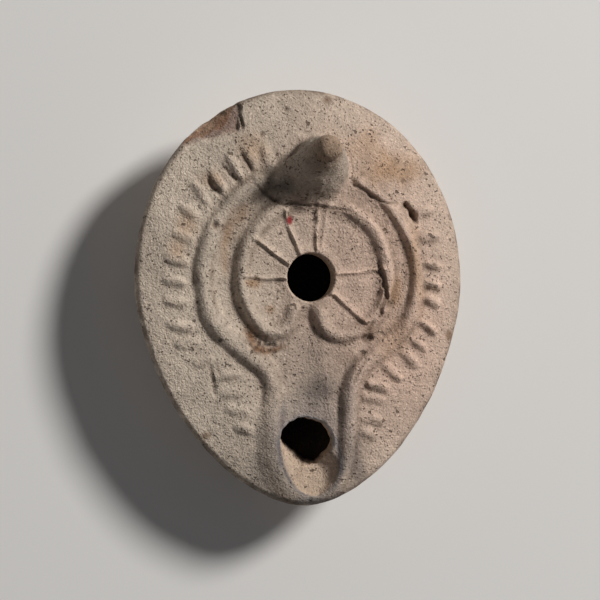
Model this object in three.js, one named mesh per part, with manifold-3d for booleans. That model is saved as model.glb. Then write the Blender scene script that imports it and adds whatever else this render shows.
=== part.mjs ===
import * as THREE from 'three';
import { mergeVertices } from 'three/addons/utils/BufferGeometryUtils.js';
import Module from 'manifold-3d';

const wasm = await Module();
wasm.setup();

// A mould-made clay oil lamp, in millimetres. The base stands on z = 0, the nozzle points to -Y and
// the knob handle stands towards +Y. The plan is widest at the seam where the two moulds met.

// Height over all, at the knob's tip
const overallHeight = 36.0;

// Plan of the body at the seam. Its middle lies left of the line through the moulded decoration
const planX = -0.9;
const halfWidth = 36.9;
const backReach = 42.0;
const frontReach = 50.0;
const widestY = (frontReach - backReach) / 2;
const backRoundness = 2.05;
const frontRoundness = 1.76;
const noseLean = 1.3;

// Upper mould: a tight rounded edge, then a low shoulder that flattens into the discus floor
const seamHeight = 17.0;
const rimWidth = 1.2;
const rimRise = 1.6;
const shoulderRun = 13.0;
const shoulderRise = 2.2;
const shoulderCurve = 1.5;

// Lower mould: a bowl on a flat foot, with a groove round the foot's underside
const bowlCurve = 1.6;
const footHalfWidth = 17.5;
const footHeight = 1.0;
const footGrooveInset = 2.6;
const footGrooveWidth = 1.4;
const footGrooveDepth = 0.6;

// Walls of the oil chamber
const sideWall = 4.4;
const floorWall = 4.0;
const roofWall = 3.8;
const nozzleWall = 8.0;
const chamberHeight = 13.0;

// Moulding that frames the discus and runs down both sides of the nozzle
const ridgeX = 0.8;
const ridgeY = 4.1;
const ridgeRadius = 24.0;
const ridgeLeanShare = 0.5;
const ridgeGap = THREE.MathUtils.degToRad(28);
const ridgeCircleEnd = THREE.MathUtils.degToRad(15);
const ridgeHipRadius = 14.0;
const ridgeHipSlant = THREE.MathUtils.degToRad(52);
const ridgeNeckRadius = 10.0;
const ridgeHalfWidth = 2.7;
const ridgeRise = 1.8;
const ridgeTipShare = 0.5;
const channelHalfWidth = 8.5;
const nozzleEndLength = 11.5;
const nozzleLip = 1.6;

// Short raised rays on the shoulder, one row outside the moulding
const rayOffset = 5.3;
const raySpacing = 4.6;
const rayLength = 5.6;
const rayHalfWidth = 1.5;
const rayRise = 1.0;
const rayRows = {
  left: { gap: THREE.MathUtils.degToRad(12), count: 17 },
  right: { gap: THREE.MathUtils.degToRad(25), count: 16 },
};

// Rosette round the filling hole, open towards the nozzle
const rosetteX = 2.2;
const rosetteY = 4.6;
const rosetteRadius = 16.7;
const rosettePlate = 0.5;
const rosetteRimHalfWidth = 1.9;
const rosetteRimRise = 1.7;
const rosetteMouthX = -0.15;
const rosetteMouthHalfWidth = 2.7;
const lobeStart = { left: THREE.MathUtils.degToRad(45), right: THREE.MathUtils.degToRad(30) };
const lobeEndRadius = 4.6;
const lobeEndLength = 2.0;
const lobeLevel = THREE.MathUtils.degToRad(95);
const lobeReturn = THREE.MathUtils.degToRad(165);
const ribAngles = [4.6, 51, 85, 113.7, 147.5, 182.5, 318].map(THREE.MathUtils.degToRad);
const ribHalfWidth = 0.8;
const ribRise = 1.1;

// Filling hole, wick hole with the hollow in front that the wick rests in, and the trough between them
const fillX = 0.95;
const fillY = 4.3;
const fillRadius = 5.3;
const wickX = -0.5;
const wickY = -31.5;
const wickHalfWidth = 5.8;
const wickReach = 5.1;
const restHeight = 16.0;
const restReach = 12.3;
const restRise = 1.3;
const troughHalfWidth = 6.2;
const troughDepth = 0.8;
const troughStartShare = 0.3;

// Knob handle, a slanting cone pinched in at its back left, whose tip stands near the back
const knobTipRadius = 3.05;
const knobBase = new THREE.Vector3(-0.3, 28.3, 19.0);
const knobTip = new THREE.Vector3(2.15, 32.2, overallHeight - knobTipRadius);
const knobBaseRadii = [10.7, 8.2];
const knobFlare = 0.95;
const knobPinch = 0.48;
const knobPinchWay = THREE.MathUtils.degToRad(150);
const knobPinchSpread = THREE.MathUtils.degToRad(38);
const hollowPlace = new THREE.Vector3(-6.2, 23.4, 25.6);
const hollowRadius = 3.2;

// Break in the rim at the upper left, with two slanting faces that meet in a hollow corner
const chipStart = new THREE.Vector2(-27.6, 33.4);
const chipCorner = new THREE.Vector2(-19.8, 36.7);
const chipEnd = new THREE.Vector2(-14.6, 43.9);
const chipHeight = 18.6;
const chipLean = 1.0;

// How far raised pieces reach down into the body, and cuts reach past it
const buried = 1.0;
const cutClearance = 2.0;

// Fineness of the facets: points round a ring, rings up a profile and points along a path
const bodyFacets = 64;
const chamberFacets = 32;
const holeFacets = 24;
const bowlRings = 9;
const rimRings = 4;
const chamberRings = 6;
const shoulderInsets = [3, 6, 9, 13, 20];
const roofShares = [1, 0.88, 0.7, 0.4];
const pathStep = 2.0;
const rayTipShare = 0.9;
const troughRings = 6;

const quarter = Math.PI / 2;
const turn = Math.PI * 2;
const steps = (count) => Array.from({ length: count + 1 }, (unused, index) => index / count);
const lean = (y) => noseLean * Math.max((widestY - y) / frontReach, 0) ** 2;
const planMiddle = (y) => planX + lean(y);

// Half sizes and roundness of the plan in front of its widest line and behind it
function planHalf(along) {
  return along < 0 ? [frontReach, frontRoundness] : [backReach, backRoundness];
}

// Distance from a point in plan to the seam's outline, taken square to it
function inset(x, y) {
  const along = y - widestY;
  const [reach, roundness] = planHalf(along);
  const across = Math.abs(x - planMiddle(y)) / halfWidth;
  const forward = Math.abs(along) / reach;
  const share = (across ** roundness + forward ** roundness) ** (1 / roundness);
  if (share < 0.01) {
    return halfWidth;
  }
  const slope = Math.hypot(across ** (roundness - 1) / halfWidth, forward ** (roundness - 1) / reach);
  return ((1 - share) * share ** (roundness - 1)) / slope;
}

// Height of the upper mould's plain surface above a point in plan
function topHeight(x, y) {
  const depth = Math.max(inset(x, y), 0);
  const rim = 1 - Math.min(depth / rimWidth, 1);
  const run = 1 - Math.min(depth / shoulderRun, 1);
  return seamHeight + rimRise * Math.sqrt(1 - rim ** 2) + shoulderRise * (1 - run ** shoulderCurve);
}

// One ring of points on the plan shrunk to a share, with its own half sizes
function planRing(share, facets, height, cut = { side: 0, back: 0, front: 0 }) {
  return Array.from({ length: facets }, (unused, index) => {
    const angle = (index / facets) * turn;
    const forward = Math.sin(angle);
    const [reach, roundness] = planHalf(forward);
    const length = reach - (forward < 0 ? cut.front : cut.back);
    const across = Math.cos(angle);
    const x = Math.sign(across) * Math.abs(across) ** (2 / roundness) * (halfWidth - cut.side) * share;
    const y = widestY + Math.sign(forward) * Math.abs(forward) ** (2 / roundness) * length * share;
    return new THREE.Vector3(x + planMiddle(y), y, height(x + planMiddle(y), y));
  });
}

// Share of the full plan that a bowl reaches at a height, from its floor up to its widest level
function bowlShare(height, floor, widest) {
  const footShare = footHalfWidth / halfWidth;
  const down = (widest - height) / (widest - floor);
  return footShare + (1 - footShare) * (1 - down ** bowlCurve) ** (1 / bowlCurve);
}

// Closed geometry through rings of equal count, with a fan of triangles over each end
function loft(rings) {
  const count = rings[0].length;
  const middle = (ring) => ring.reduce((sum, point) => sum.add(point), new THREE.Vector3()).divideScalar(count);
  const points = [middle(rings[0]), ...rings.flat(), middle(rings.at(-1))];
  const last = points.length - 1;
  const faces = [];
  for (let corner = 0; corner < count; corner += 1) {
    const next = (corner + 1) % count;
    faces.push(0, 1 + next, 1 + corner);
    for (let level = 0; level < rings.length - 1; level += 1) {
      const low = 1 + level * count;
      const high = low + count;
      faces.push(low + corner, low + next, high + next, low + corner, high + next, high + corner);
    }
    faces.push(last, last - count + corner, last - count + next);
  }
  const geometry = new THREE.BufferGeometry().setFromPoints(points);
  geometry.setIndex(faces);
  return geometry;
}

function solidFrom(geometry) {
  const bare = geometry.clone();
  bare.deleteAttribute('normal');
  bare.deleteAttribute('uv');
  const merged = mergeVertices(bare, 1e-4);
  return new wasm.Manifold(
    new wasm.Mesh({
      numProp: 3,
      vertProperties: new Float32Array(merged.attributes.position.array),
      triVerts: new Uint32Array(merged.index.array),
    }),
  );
}

function geometryFrom(solid) {
  const mesh = solid.getMesh();
  const geometry = new THREE.BufferGeometry();
  geometry.setAttribute('position', new THREE.BufferAttribute(new Float32Array(mesh.vertProperties), 3));
  geometry.setIndex(new THREE.BufferAttribute(new Uint32Array(mesh.triVerts), 1));
  geometry.computeVertexNormals();
  return geometry;
}

// Outer form: foot, bowl, rounded rim, shoulder and flat floor of the discus
function bodyForm() {
  const footShare = footHalfWidth / halfWidth;
  const underside = (distance, height) => {
    return planRing(footShare - distance / halfWidth, bodyFacets, () => height);
  };
  const grooveFar = footGrooveInset + footGrooveWidth;
  const foot = [
    underside(grooveFar, 0),
    underside((footGrooveInset + grooveFar) / 2, footGrooveDepth),
    underside(footGrooveInset, 0),
    underside(0, 0),
    underside(0, footHeight),
  ];
  const bowl = steps(bowlRings).slice(1).map((rise) => {
    const level = seamHeight - (seamHeight - footHeight) * Math.cos(rise * quarter);
    return planRing(bowlShare(level, footHeight, seamHeight), bodyFacets, () => level);
  });
  const rim = steps(rimRings).slice(1).map((roll) => {
    const distance = rimWidth * (1 - Math.cos(roll * quarter));
    return planRing(1 - distance / halfWidth, bodyFacets, topHeight);
  });
  const shoulder = shoulderInsets.map((distance) => {
    return planRing(1 - distance / halfWidth, bodyFacets, topHeight);
  });
  return solidFrom(loft([...foot, ...bowl, ...rim, ...shoulder]));
}

// Oil chamber: the same plan drawn in by the walls, under a roof that follows the shoulder
function chamberForm() {
  const cut = { side: sideWall, back: sideWall, front: nozzleWall };
  const bowl = steps(chamberRings).map((rise) => {
    const level = chamberHeight - (chamberHeight - floorWall) * Math.cos(rise * quarter);
    return planRing(bowlShare(level, floorWall, chamberHeight), chamberFacets, () => level, cut);
  });
  const roof = roofShares.map((share) => {
    return planRing(share, chamberFacets, (x, y) => topHeight(x, y) - roofWall, cut);
  });
  return solidFrom(loft([...bowl, ...roof]));
}

// Points of a path made of arcs and straights, from a start and a heading
function walk(start, heading, legs) {
  const points = [start.clone()];
  let place = start.clone();
  let way = heading;
  for (const leg of legs) {
    const length = leg.radius ? Math.abs(leg.radius * leg.bend) : leg.length;
    const count = Math.max(Math.ceil(length / pathStep), 1);
    const bend = (leg.bend ?? 0) / count;
    const chord = leg.radius ? 2 * leg.radius * Math.sin(Math.abs(bend) / 2) : length / count;
    for (let index = 0; index < count; index += 1) {
      const middle = way + bend / 2;
      place = place.clone().add(new THREE.Vector2(Math.cos(middle), Math.sin(middle)).multiplyScalar(chord));
      way += bend;
      points.push(place);
    }
  }
  return points;
}

// Bar with an oval section laid along a path on the surface, its size shared out by a taper
function surfaceBar(path, size, taper = () => 1) {
  const rings = path.map((place, index) => {
    const before = path[Math.max(index - 1, 0)];
    const after = path[Math.min(index + 1, path.length - 1)];
    const ahead = after.clone().sub(before).normalize();
    const share = taper(index / (path.length - 1));
    return Array.from({ length: size.facets }, (unused, corner) => {
      const angle = ((corner + 0.5) / size.facets) * turn;
      const across = size.halfWidth * share * Math.cos(angle);
      const lift = Math.sin(angle) * (Math.sin(angle) > 0 ? size.rise : size.sink) * share;
      const x = place.x - ahead.y * across;
      const y = place.y + ahead.x * across;
      return new THREE.Vector3(x, y, topHeight(x, y) + lift);
    });
  });
  return solidFrom(loft(rings));
}

// Half of the moulding's line, from the knob round the discus and down to the nozzle's tip
function ridgeHalf(side, gap = ridgeGap) {
  const start = new THREE.Vector2(Math.sin(gap), Math.cos(gap)).multiplyScalar(ridgeRadius);
  const hipX = ridgeRadius * Math.cos(ridgeCircleEnd)
    - ridgeHipRadius * (Math.cos(ridgeCircleEnd) - Math.cos(ridgeHipSlant));
  const neckX = channelHalfWidth + ridgeNeckRadius * (1 - Math.cos(ridgeHipSlant));
  const flank = walk(start, -gap, [
    { radius: ridgeRadius, bend: gap - quarter - ridgeCircleEnd },
    { radius: ridgeHipRadius, bend: ridgeCircleEnd - ridgeHipSlant },
    { length: (hipX - neckX) / Math.sin(ridgeHipSlant) },
    { radius: ridgeNeckRadius, bend: ridgeHipSlant },
  ]);
  const tipY = widestY - frontReach + nozzleLip - ridgeY;
  const endY = tipY + nozzleEndLength;
  const neck = flank.at(-1);
  const straight = steps(6).slice(1).map((along) => {
    return new THREE.Vector2(channelHalfWidth, THREE.MathUtils.lerp(neck.y, endY, along));
  });
  const end = steps(7).slice(1).map((along) => {
    const angle = along * quarter;
    return new THREE.Vector2(channelHalfWidth * Math.cos(angle), endY - nozzleEndLength * Math.sin(angle));
  });
  return [...flank, ...straight, ...end].map(({ x, y }) => {
    return new THREE.Vector2(ridgeX + side * x + ridgeLeanShare * lean(ridgeY + y), ridgeY + y);
  });
}

function ridge() {
  const path = [...ridgeHalf(-1), ...ridgeHalf(1).reverse().slice(1)];
  const size = { halfWidth: ridgeHalfWidth, rise: ridgeRise, sink: buried, facets: 8 };
  return surfaceBar(path, size, (along) => {
    const nearTip = (1 - Math.abs(2 * along - 1)) ** 4;
    return THREE.MathUtils.lerp(1, ridgeTipShare, nearTip);
  });
}

// Rays stand square to the moulding, evenly spaced along a line beside it
function rays() {
  const size = { halfWidth: rayHalfWidth, rise: rayRise, sink: buried, facets: 6 };
  const taper = (along) => Math.sqrt(1 - (rayTipShare * (2 * along - 1)) ** 2);
  return [[-1, rayRows.left], [1, rayRows.right]].flatMap(([side, row]) => {
    const line = new THREE.CatmullRomCurve3(offsetLine(ridgeHalf(side, row.gap), side * rayOffset));
    return Array.from({ length: row.count }, (unused, index) => {
      const along = ((index + 0.5) * raySpacing) / line.getLength();
      const middle = line.getPointAt(along);
      const ahead = line.getTangentAt(along);
      const out = new THREE.Vector2(-ahead.y, ahead.x).multiplyScalar(side);
      const path = steps(4).map((share) => {
        return new THREE.Vector2(middle.x, middle.y).addScaledVector(out, (share - 0.5) * rayLength);
      });
      return surfaceBar(path, size, taper);
    });
  });
}

// A line beside a path, on its left for a positive distance
function offsetLine(path, distance) {
  return path.slice(1, -1).map((place, index) => {
    const ahead = path[index + 2].clone().sub(path[index]).normalize();
    return new THREE.Vector3(place.x - ahead.y * distance, place.y + ahead.x * distance, 0);
  });
}

// Half of the rosette's rim, from the top of its circle to the lobe's curled end by the trough
function rosetteHalf(side, lobe) {
  const mouth = side * (rosetteMouthX - rosetteX) + rosetteMouthHalfWidth;
  const circleX = rosetteRadius * Math.cos(lobe);
  const endX = lobeEndRadius * (Math.cos(lobeLevel) - Math.cos(lobeReturn)) + lobeEndLength * Math.sin(lobeReturn);
  const lobeRadius = (circleX - endX - mouth) / (Math.cos(lobe) - Math.cos(lobeLevel));
  const half = walk(new THREE.Vector2(0, rosetteRadius), 0, [
    { radius: rosetteRadius, bend: -quarter - lobe },
    { radius: lobeRadius, bend: lobe - lobeLevel },
    { radius: lobeEndRadius, bend: lobeLevel - lobeReturn },
    { length: lobeEndLength },
  ]);
  return half.map(({ x, y }) => new THREE.Vector2(rosetteX + side * x, rosetteY + y));
}

function rosette() {
  const left = rosetteHalf(-1, lobeStart.left);
  const right = rosetteHalf(1, lobeStart.right);
  const path = [...left.reverse(), ...right.slice(1)];
  const rim = { halfWidth: rosetteRimHalfWidth, rise: rosetteRimRise, sink: buried, facets: 8 };
  const floor = topHeight(rosetteX, rosetteY);
  const plate = new THREE.ExtrudeGeometry(new THREE.Shape(path), {
    depth: rosettePlate + buried,
    bevelEnabled: false,
  });
  plate.translate(0, 0, floor - buried);
  const rib = { halfWidth: ribHalfWidth, rise: ribRise, sink: buried, facets: 8 };
  const ribs = ribAngles.map((angle) => {
    const way = new THREE.Vector2(Math.cos(angle), Math.sin(angle));
    const from = new THREE.Vector2(fillX, fillY);
    const centre = new THREE.Vector2(rosetteX, rosetteY).sub(from);
    const square = centre.dot(way);
    const reach = square + Math.sqrt(square ** 2 + rosetteRadius ** 2 - centre.lengthSq());
    const path = steps(3).map((along) => {
      const distance = THREE.MathUtils.lerp(fillRadius + ribHalfWidth, reach - rosetteRimHalfWidth / 2, along);
      return from.clone().addScaledVector(way, distance);
    });
    return surfaceBar(path, rib);
  });
  return [surfaceBar(path, rim), solidFrom(plate), ...ribs];
}

// Knob: rings that shrink and lean back to a round tip
function knob() {
  const flank = steps(7).map((rise) => ({ rise, share: (1 - rise) ** knobFlare, dome: 0 }));
  const tip = steps(4).slice(1).map((dome) => ({ rise: 1, share: 0, dome }));
  const rings = [...flank, ...tip.slice(0, -1)].map(({ rise, share, dome }) => {
    const middle = knobBase.clone().lerp(knobTip, rise);
    const radii = knobBaseRadii.map((radius) => knobTipRadius + (radius - knobTipRadius) * share);
    return Array.from({ length: holeFacets }, (unused, corner) => {
      const angle = (corner / holeFacets) * turn;
      const pinch = 1 - knobPinch * share * Math.exp(-(((angle - knobPinchWay) / knobPinchSpread) ** 2));
      const reach = pinch * Math.cos(dome * quarter);
      const rim = new THREE.Vector3(radii[0] * Math.cos(angle), radii[1] * Math.sin(angle), 0);
      return rim.multiplyScalar(reach).add(middle).setZ(middle.z + knobTipRadius * Math.sin(dome * quarter));
    });
  });
  rings.push(rings.at(-1).map(() => knobTip.clone().setZ(overallHeight)));
  return solidFrom(loft(rings)).subtract(thumbHollow());
}

function thumbHollow() {
  const ball = new THREE.SphereGeometry(hollowRadius, 14, 8);
  ball.translate(hollowPlace.x, hollowPlace.y, hollowPlace.z);
  return solidFrom(ball);
}

// Straight round shaft down into the oil chamber
function fillHole() {
  const top = topHeight(fillX, fillY) + rosetteRimRise + cutClearance;
  const depth = top - chamberHeight;
  const shaft = new THREE.CylinderGeometry(fillRadius, fillRadius, depth, holeFacets);
  shaft.rotateX(quarter);
  shaft.translate(fillX, fillY, top - depth / 2);
  return solidFrom(shaft);
}

// Wick hole, with a shallow hollow in front of it that rises to the nozzle's lip
function wickHole() {
  const levels = [
    { height: chamberHeight - cutClearance, front: wickReach },
    { height: restHeight, front: wickReach },
    { height: restHeight + restRise, front: restReach },
    { height: seamHeight + rimRise + shoulderRise + ridgeRise + cutClearance, front: restReach },
  ];
  const rings = levels.map(({ height, front }) => {
    return Array.from({ length: holeFacets }, (unused, corner) => {
      const angle = (corner / holeFacets) * turn;
      const y = wickY + (Math.sin(angle) < 0 ? front : wickReach) * Math.sin(angle);
      return new THREE.Vector3(wickX + lean(y) + wickHalfWidth * Math.cos(angle), y, height);
    });
  });
  return solidFrom(loft(rings));
}

// Shallow trough that carries spilt oil from the filling hole to the wick
function trough() {
  const path = new THREE.SplineCurve([
    new THREE.Vector2(fillX, fillY - fillRadius / 2),
    new THREE.Vector2(rosetteMouthX, rosetteY - rosetteRadius),
    new THREE.Vector2(wickX + lean(wickY), wickY),
  ]).getPoints(troughRings);
  const size = { halfWidth: troughHalfWidth, rise: troughDepth, sink: troughDepth, facets: 16 };
  return surfaceBar(path, size, (along) => THREE.MathUtils.lerp(troughStartShare, 1, along));
}

// Corner shared by two slanting blocks, whose faces leave the broken rim
function chip() {
  const blocks = [chipCorner.clone().sub(chipStart), chipEnd.clone().sub(chipCorner)].map((edge) => {
    const block = new THREE.BoxGeometry(overallHeight, overallHeight, overallHeight);
    block.translate(0, overallHeight / 2, 0);
    block.rotateX(Math.atan(chipLean));
    block.rotateZ(edge.angle());
    block.translate(chipCorner.x, chipCorner.y, chipHeight);
    return solidFrom(block);
  });
  return blocks[0].intersect(blocks[1]);
}

function oilLamp() {
  const raised = [ridge(), ...rays(), ...rosette(), knob()];
  const openings = [trough(), fillHole(), wickHole(), chip()];
  const hollow = bodyForm().subtract(chamberForm());
  const whole = raised.reduce((solid, piece) => solid.add(piece), hollow);
  const broken = openings.reduce((solid, opening) => solid.subtract(opening), whole);
  const clay = new THREE.MeshStandardMaterial({ color: 0xa8937f, roughness: 0.9, metalness: 0 });
  const mesh = new THREE.Mesh(geometryFrom(broken.translate([-planX, 0, 0])), clay);
  mesh.name = 'oil_lamp';
  return mesh;
}

const group = new THREE.Group();
group.add(oilLamp());

export default group;
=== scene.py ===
import math

import bmesh
import bpy
import numpy as np
from mathutils import Matrix, Vector, geometry


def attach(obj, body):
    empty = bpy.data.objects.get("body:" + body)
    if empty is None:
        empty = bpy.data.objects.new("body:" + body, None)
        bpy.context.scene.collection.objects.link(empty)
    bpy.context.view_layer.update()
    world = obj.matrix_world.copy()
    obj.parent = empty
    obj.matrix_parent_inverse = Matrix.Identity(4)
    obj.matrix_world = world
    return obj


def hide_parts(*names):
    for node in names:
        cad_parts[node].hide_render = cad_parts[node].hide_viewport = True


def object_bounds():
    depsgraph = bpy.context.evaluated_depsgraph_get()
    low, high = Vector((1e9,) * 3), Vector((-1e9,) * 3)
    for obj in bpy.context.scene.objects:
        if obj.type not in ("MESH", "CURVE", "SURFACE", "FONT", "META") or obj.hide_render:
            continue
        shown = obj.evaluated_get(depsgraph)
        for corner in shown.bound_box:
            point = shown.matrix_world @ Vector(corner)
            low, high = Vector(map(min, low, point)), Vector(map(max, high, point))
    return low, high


# A mould-made clay lamp. All shapes are worked out in millimetres and turned into metres at the end.
MM = 0.001

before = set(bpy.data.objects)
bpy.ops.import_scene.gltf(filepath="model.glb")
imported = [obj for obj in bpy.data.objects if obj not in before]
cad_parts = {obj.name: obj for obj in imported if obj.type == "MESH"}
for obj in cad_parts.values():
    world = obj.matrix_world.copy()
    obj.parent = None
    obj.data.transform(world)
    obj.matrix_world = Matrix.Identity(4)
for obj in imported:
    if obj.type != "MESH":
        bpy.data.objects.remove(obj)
cad_low, cad_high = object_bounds()

# Plan of the body at the seam of its two moulds. Its middle lies left of the decoration's middle line
PLAN_X = -0.9
HALF_WIDTH = 36.9
BACK_REACH = 42.0
FRONT_REACH = 50.0
WIDEST_Y = (FRONT_REACH - BACK_REACH) / 2
BACK_ROUNDNESS = 2.05
FRONT_ROUNDNESS = 1.76
NOSE_LEAN = 1.3

# Tight rounded edge and low shoulder of the upper mould
SEAM_HEIGHT = 17.0
RIM_WIDTH = 1.2
RIM_RISE = 1.6
SHOULDER_RUN = 13.0
SHOULDER_RISE = 2.2
SHOULDER_CURVE = 1.5

# Bowl and foot of the lower mould
BOWL_CURVE = 1.6
FOOT_HALF_WIDTH = 17.5
FOOT_HEIGHT = 1.0
FOOT_GROOVE_INSET = 2.6
FOOT_GROOVE_WIDTH = 1.4
FOOT_GROOVE_DEPTH = 0.6

# Oil chamber
SIDE_WALL = 4.4
NOZZLE_WALL = 8.6
FLOOR_WALL = 4.0
ROOF_WALL = 3.8
CHAMBER_HEIGHT = 13.0
CHAMBER_FLOOR_SHARES = (0.8, 0.55, 0.3)
# Its lower inside at the front left: where that starts and ends in y, the slant of that line in plan,
# the distances from the wick hole's middle between which it ends, and the share it takes off the height
FRONT_RANGE = (-27.5, -34.5)
FRONT_SLANT = 0.5
FRONT_SIDES = (8.0, 12.0)
FRONT_DROP = 0.45

# Moulding round the discus and along the nozzle
RIDGE_X = 0.8
RIDGE_Y = 4.1
RIDGE_RADIUS = 24.0
RIDGE_LEAN_SHARE = 0.5
RIDGE_GAP = math.radians(28)
RIDGE_CIRCLE_END = math.radians(15)
RIDGE_HIP_RADIUS = 14.0
RIDGE_HIP_SLANT = math.radians(52)
RIDGE_NECK_RADIUS = 10.0
RIDGE_TIP_SHARE = 0.5
RIDGE_TIP_POWER = 4
RIDGE_INSIDE = (1.0, 5.0)
# Section of that moulding on the left and the right: y, width outside, width inside, rise
RIDGE_SECTIONS = {
    -1: (
        (-45.0, 6.0, 1.8, 0.8),
        (-28.0, 4.8, 1.8, 1.0),
        (-20.0, 2.4, 3.0, 1.9),
        (-10.0, 2.3, 3.4, 1.9),
        (40.0, 2.1, 3.2, 1.8),
    ),
    1: (
        (-45.0, 2.6, 2.4, 1.5),
        (-30.0, 2.2, 3.1, 2.4),
        (-18.0, 2.8, 2.4, 2.2),
        (0.0, 2.6, 1.5, 1.7),
        (12.0, 2.4, 1.4, 1.55),
        (20.0, 2.6, 1.3, 1.15),
        (26.0, 2.6, 1.3, 1.0),
    ),
}
CHANNEL_HALF_WIDTH = 8.5
NOZZLE_END_LENGTH = 11.5
NOZZLE_LIP = 1.6

# Rays on the shoulder
RAY_HALF_WIDTH = 1.5
RAY_RISE = 1.05
RAY_TIP_SHARE = 0.35
RAY_WIDTH_SPREAD = 0.15
RAY_BEND = 0.02
RAY_SEED = 5
# Middle in x and y, turn in degrees, length, and strength where the clay is worn
RAYS = (
    (-8.8, 30.6, -75, 5.8, 0.7),
    (-12.4, 30.3, -62, 6.6, 0.75),
    (-16.0, 28.3, -57, 7.6, 0.85),
    (-20.0, 25.2, -59, 7.4, 0.85),
    (-23.7, 22.9, -56, 6.4, 0.9),
    (-26.4, 18.7, -38, 5.0, 0.9),
    (-27.7, 13.0, -23, 5.2, 0.6),
    (-28.8, 8.0, -14, 5.8, 0.9),
    (-29.4, 3.3, -11, 5.4, 0.9),
    (-29.2, -1.1, -10, 5.8, 0.8),
    (-28.1, -6.5, -8, 6.6, 0.9),
    (-26.4, -10.4, 13, 5.8, 0.8),
    (-23.0, -14.2, 17, 5.0, 0.6),
    (-17.9, -17.2, 10, 6.6, 0.8),
    (-16.7, -21.1, 4, 6.2, 0.7),
    (-15.7, -25.1, -10, 5.8, 0.7),
    (-14.1, -29.2, -16, 4.6, 0.7),
    (20.6, 29.4, 55, 5.0, 0.45),
    (24.0, 25.0, 42, 5.0, 0.4),
    (27.1, 19.0, 23, 4.8, 0.7),
    (28.3, 13.5, 8, 4.8, 0.8),
    (28.8, 7.7, -16, 4.8, 1.0),
    (28.7, 3.0, -20, 4.8, 1.0),
    (28.6, -0.8, -26, 4.8, 1.0),
    (27.8, -6.3, -36, 5.4, 1.0),
    (25.7, -10.1, -38, 5.2, 1.0),
    (23.4, -13.3, -43, 5.8, 1.0),
    (19.4, -16.3, -43, 6.0, 1.15),
    (15.9, -19.4, -20, 5.8, 1.15),
    (14.9, -22.0, -9, 6.0, 0.7),
    (14.7, -27.0, -10, 6.4, 0.8),
    (14.1, -30.2, -21, 4.8, 0.8),
)

# Rosette round the filling hole
ROSETTE_X = 1.7
ROSETTE_Y = 4.6
ROSETTE_RADIUS = 16.7
ROSETTE_PLATE = 0.5
ROSETTE_OUTER = 1.8
ROSETTE_INNER = 2.0
ROSETTE_RISE = 1.7
ROSETTE_FADE = (-3.0, -1.8)
PLATE_FADE = (-0.2, 1.6)
PETAL_DISH = 0.45
DISH_FADE = (1.0, 3.5)
DISH_HOLE_RUN = 3.0
# Band between the rosette and the moulding: its depth, and its edges beside the rosette and in y
BAND_DEPTH = 0.35
BAND_FADE = (0.4, 2.5)
BAND_FRONT = (-12.0, -4.0)
MOUTH_X = -0.15
MOUTH_HALF_WIDTH = 2.7
LOBE_START = {-1: math.radians(45), 1: math.radians(30)}
LOBE_END_RADIUS = 4.6
LOBE_END_LENGTH = 2.0
LOBE_LEVEL = math.radians(95)
LOBE_RETURN = math.radians(165)
# Each rib is a crest beside a crisp groove: the groove's line from the hole outwards, and a strength
RIBS = (
    (((-5.4, 3.6), (-10.0, 3.4), (-14.6, 3.6)), 0.9),
    (((-4.6, 6.7), (-8.0, 9.2), (-11.6, 12.0)), 1.0),
    (((-2.2, 9.0), (-3.8, 12.7), (-5.2, 16.0), (-5.6, 19.0)), 0.9),
    (((1.4, 10.0), (1.5, 15.3), (1.9, 20.1)), 0.9),
    (((2.6, 10.6), (3.2, 15.3), (3.7, 19.6)), 0.5),
    (((5.3, 8.7), (8.7, 12.0), (10.5, 15.2)), 0.35),
    (((6.6, 4.1), (11.0, 4.7), (16.6, 5.9)), 0.9),
    (((6.0, -0.2), (11.7, -5.5), (13.4, -6.7)), 1.0),
    (((16.2, 5.2), (16.4, 2.0), (15.8, -0.8)), 0.3),
)
RIB_CREST = 0.6
RIB_RISE = 0.6
RIB_STEEP_SIDE = 0.36
RIB_GENTLE_SIDE = 0.85
RIB_GROOVE = 0.2
RIB_GROOVE_WIDTH = 0.22
RIB_END_FADE = 0.5
RIB_OUTER_FADE = (-0.3, 1.2)

# Filling hole, wick hole and the slanting front that the wick lies on
FILL_X = 0.95
FILL_Y = 4.3
FILL_RADIUS = 5.3
HOLE_ROUNDING = 0.5
ROUNDING_LIMIT = 0.98
HOLE_WALL_SHARES = (0.12, 0.25, 0.4, 0.55, 0.7, 0.85)
WICK_X = 0.15
WICK_Y = -31.8
WICK_HALF_WIDTH = 5.8
WICK_REACH = 5.4
# Waves that make the wick hole's edge ragged: depth, number round the hole, and where they start
WICK_WAVES = ((0.16, 3, 1.0), (0.1, 7, 2.0), (0.07, 17, 0.0))
LIP_Y = -43.8
# The hollow before the wick hole: left edge, right edge and depth at places along the nozzle
HOLLOW_ROWS = (
    (LIP_Y, 1.8, 2.2, 0.1),
    (-43.4, 0.2, 3.9, 0.5),
    (-42.5, -1.4, 5.2, 1.2),
    (-41.0, -2.7, 6.3, 1.9),
    (-39.0, -3.9, 7.1, 2.6),
    (-37.0, -4.9, 7.3, 3.2),
    (-34.5, -5.6, 7.0, 4.0),
    (-31.5, -5.9, 6.4, 4.8),
    (-28.0, -5.6, 5.4, 5.6),
)
# Where it starts in y, the slant of that line in plan, and how square its right and left sides stand
HOLLOW_RANGE = (-30.5, -34.5)
HOLLOW_SLANT = 0.5
HOLLOW_RIGHT_POWER = 2.6
HOLLOW_LEFT_POWER = 6.0
# The wick hole's shaft leans back to the right on its front left side, and ends lower in the chamber
FUNNEL_SHIFT = np.array([3.1, 2.4])
FUNNEL_WAY = math.radians(235)
FUNNEL_POWER = 1.5
FUNNEL_DROP = 6.4
TROUGH_DEPTH = 0.8
TROUGH_HALF_WIDTH = 6.2
TROUGH_START_SHARE = 0.3

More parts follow.
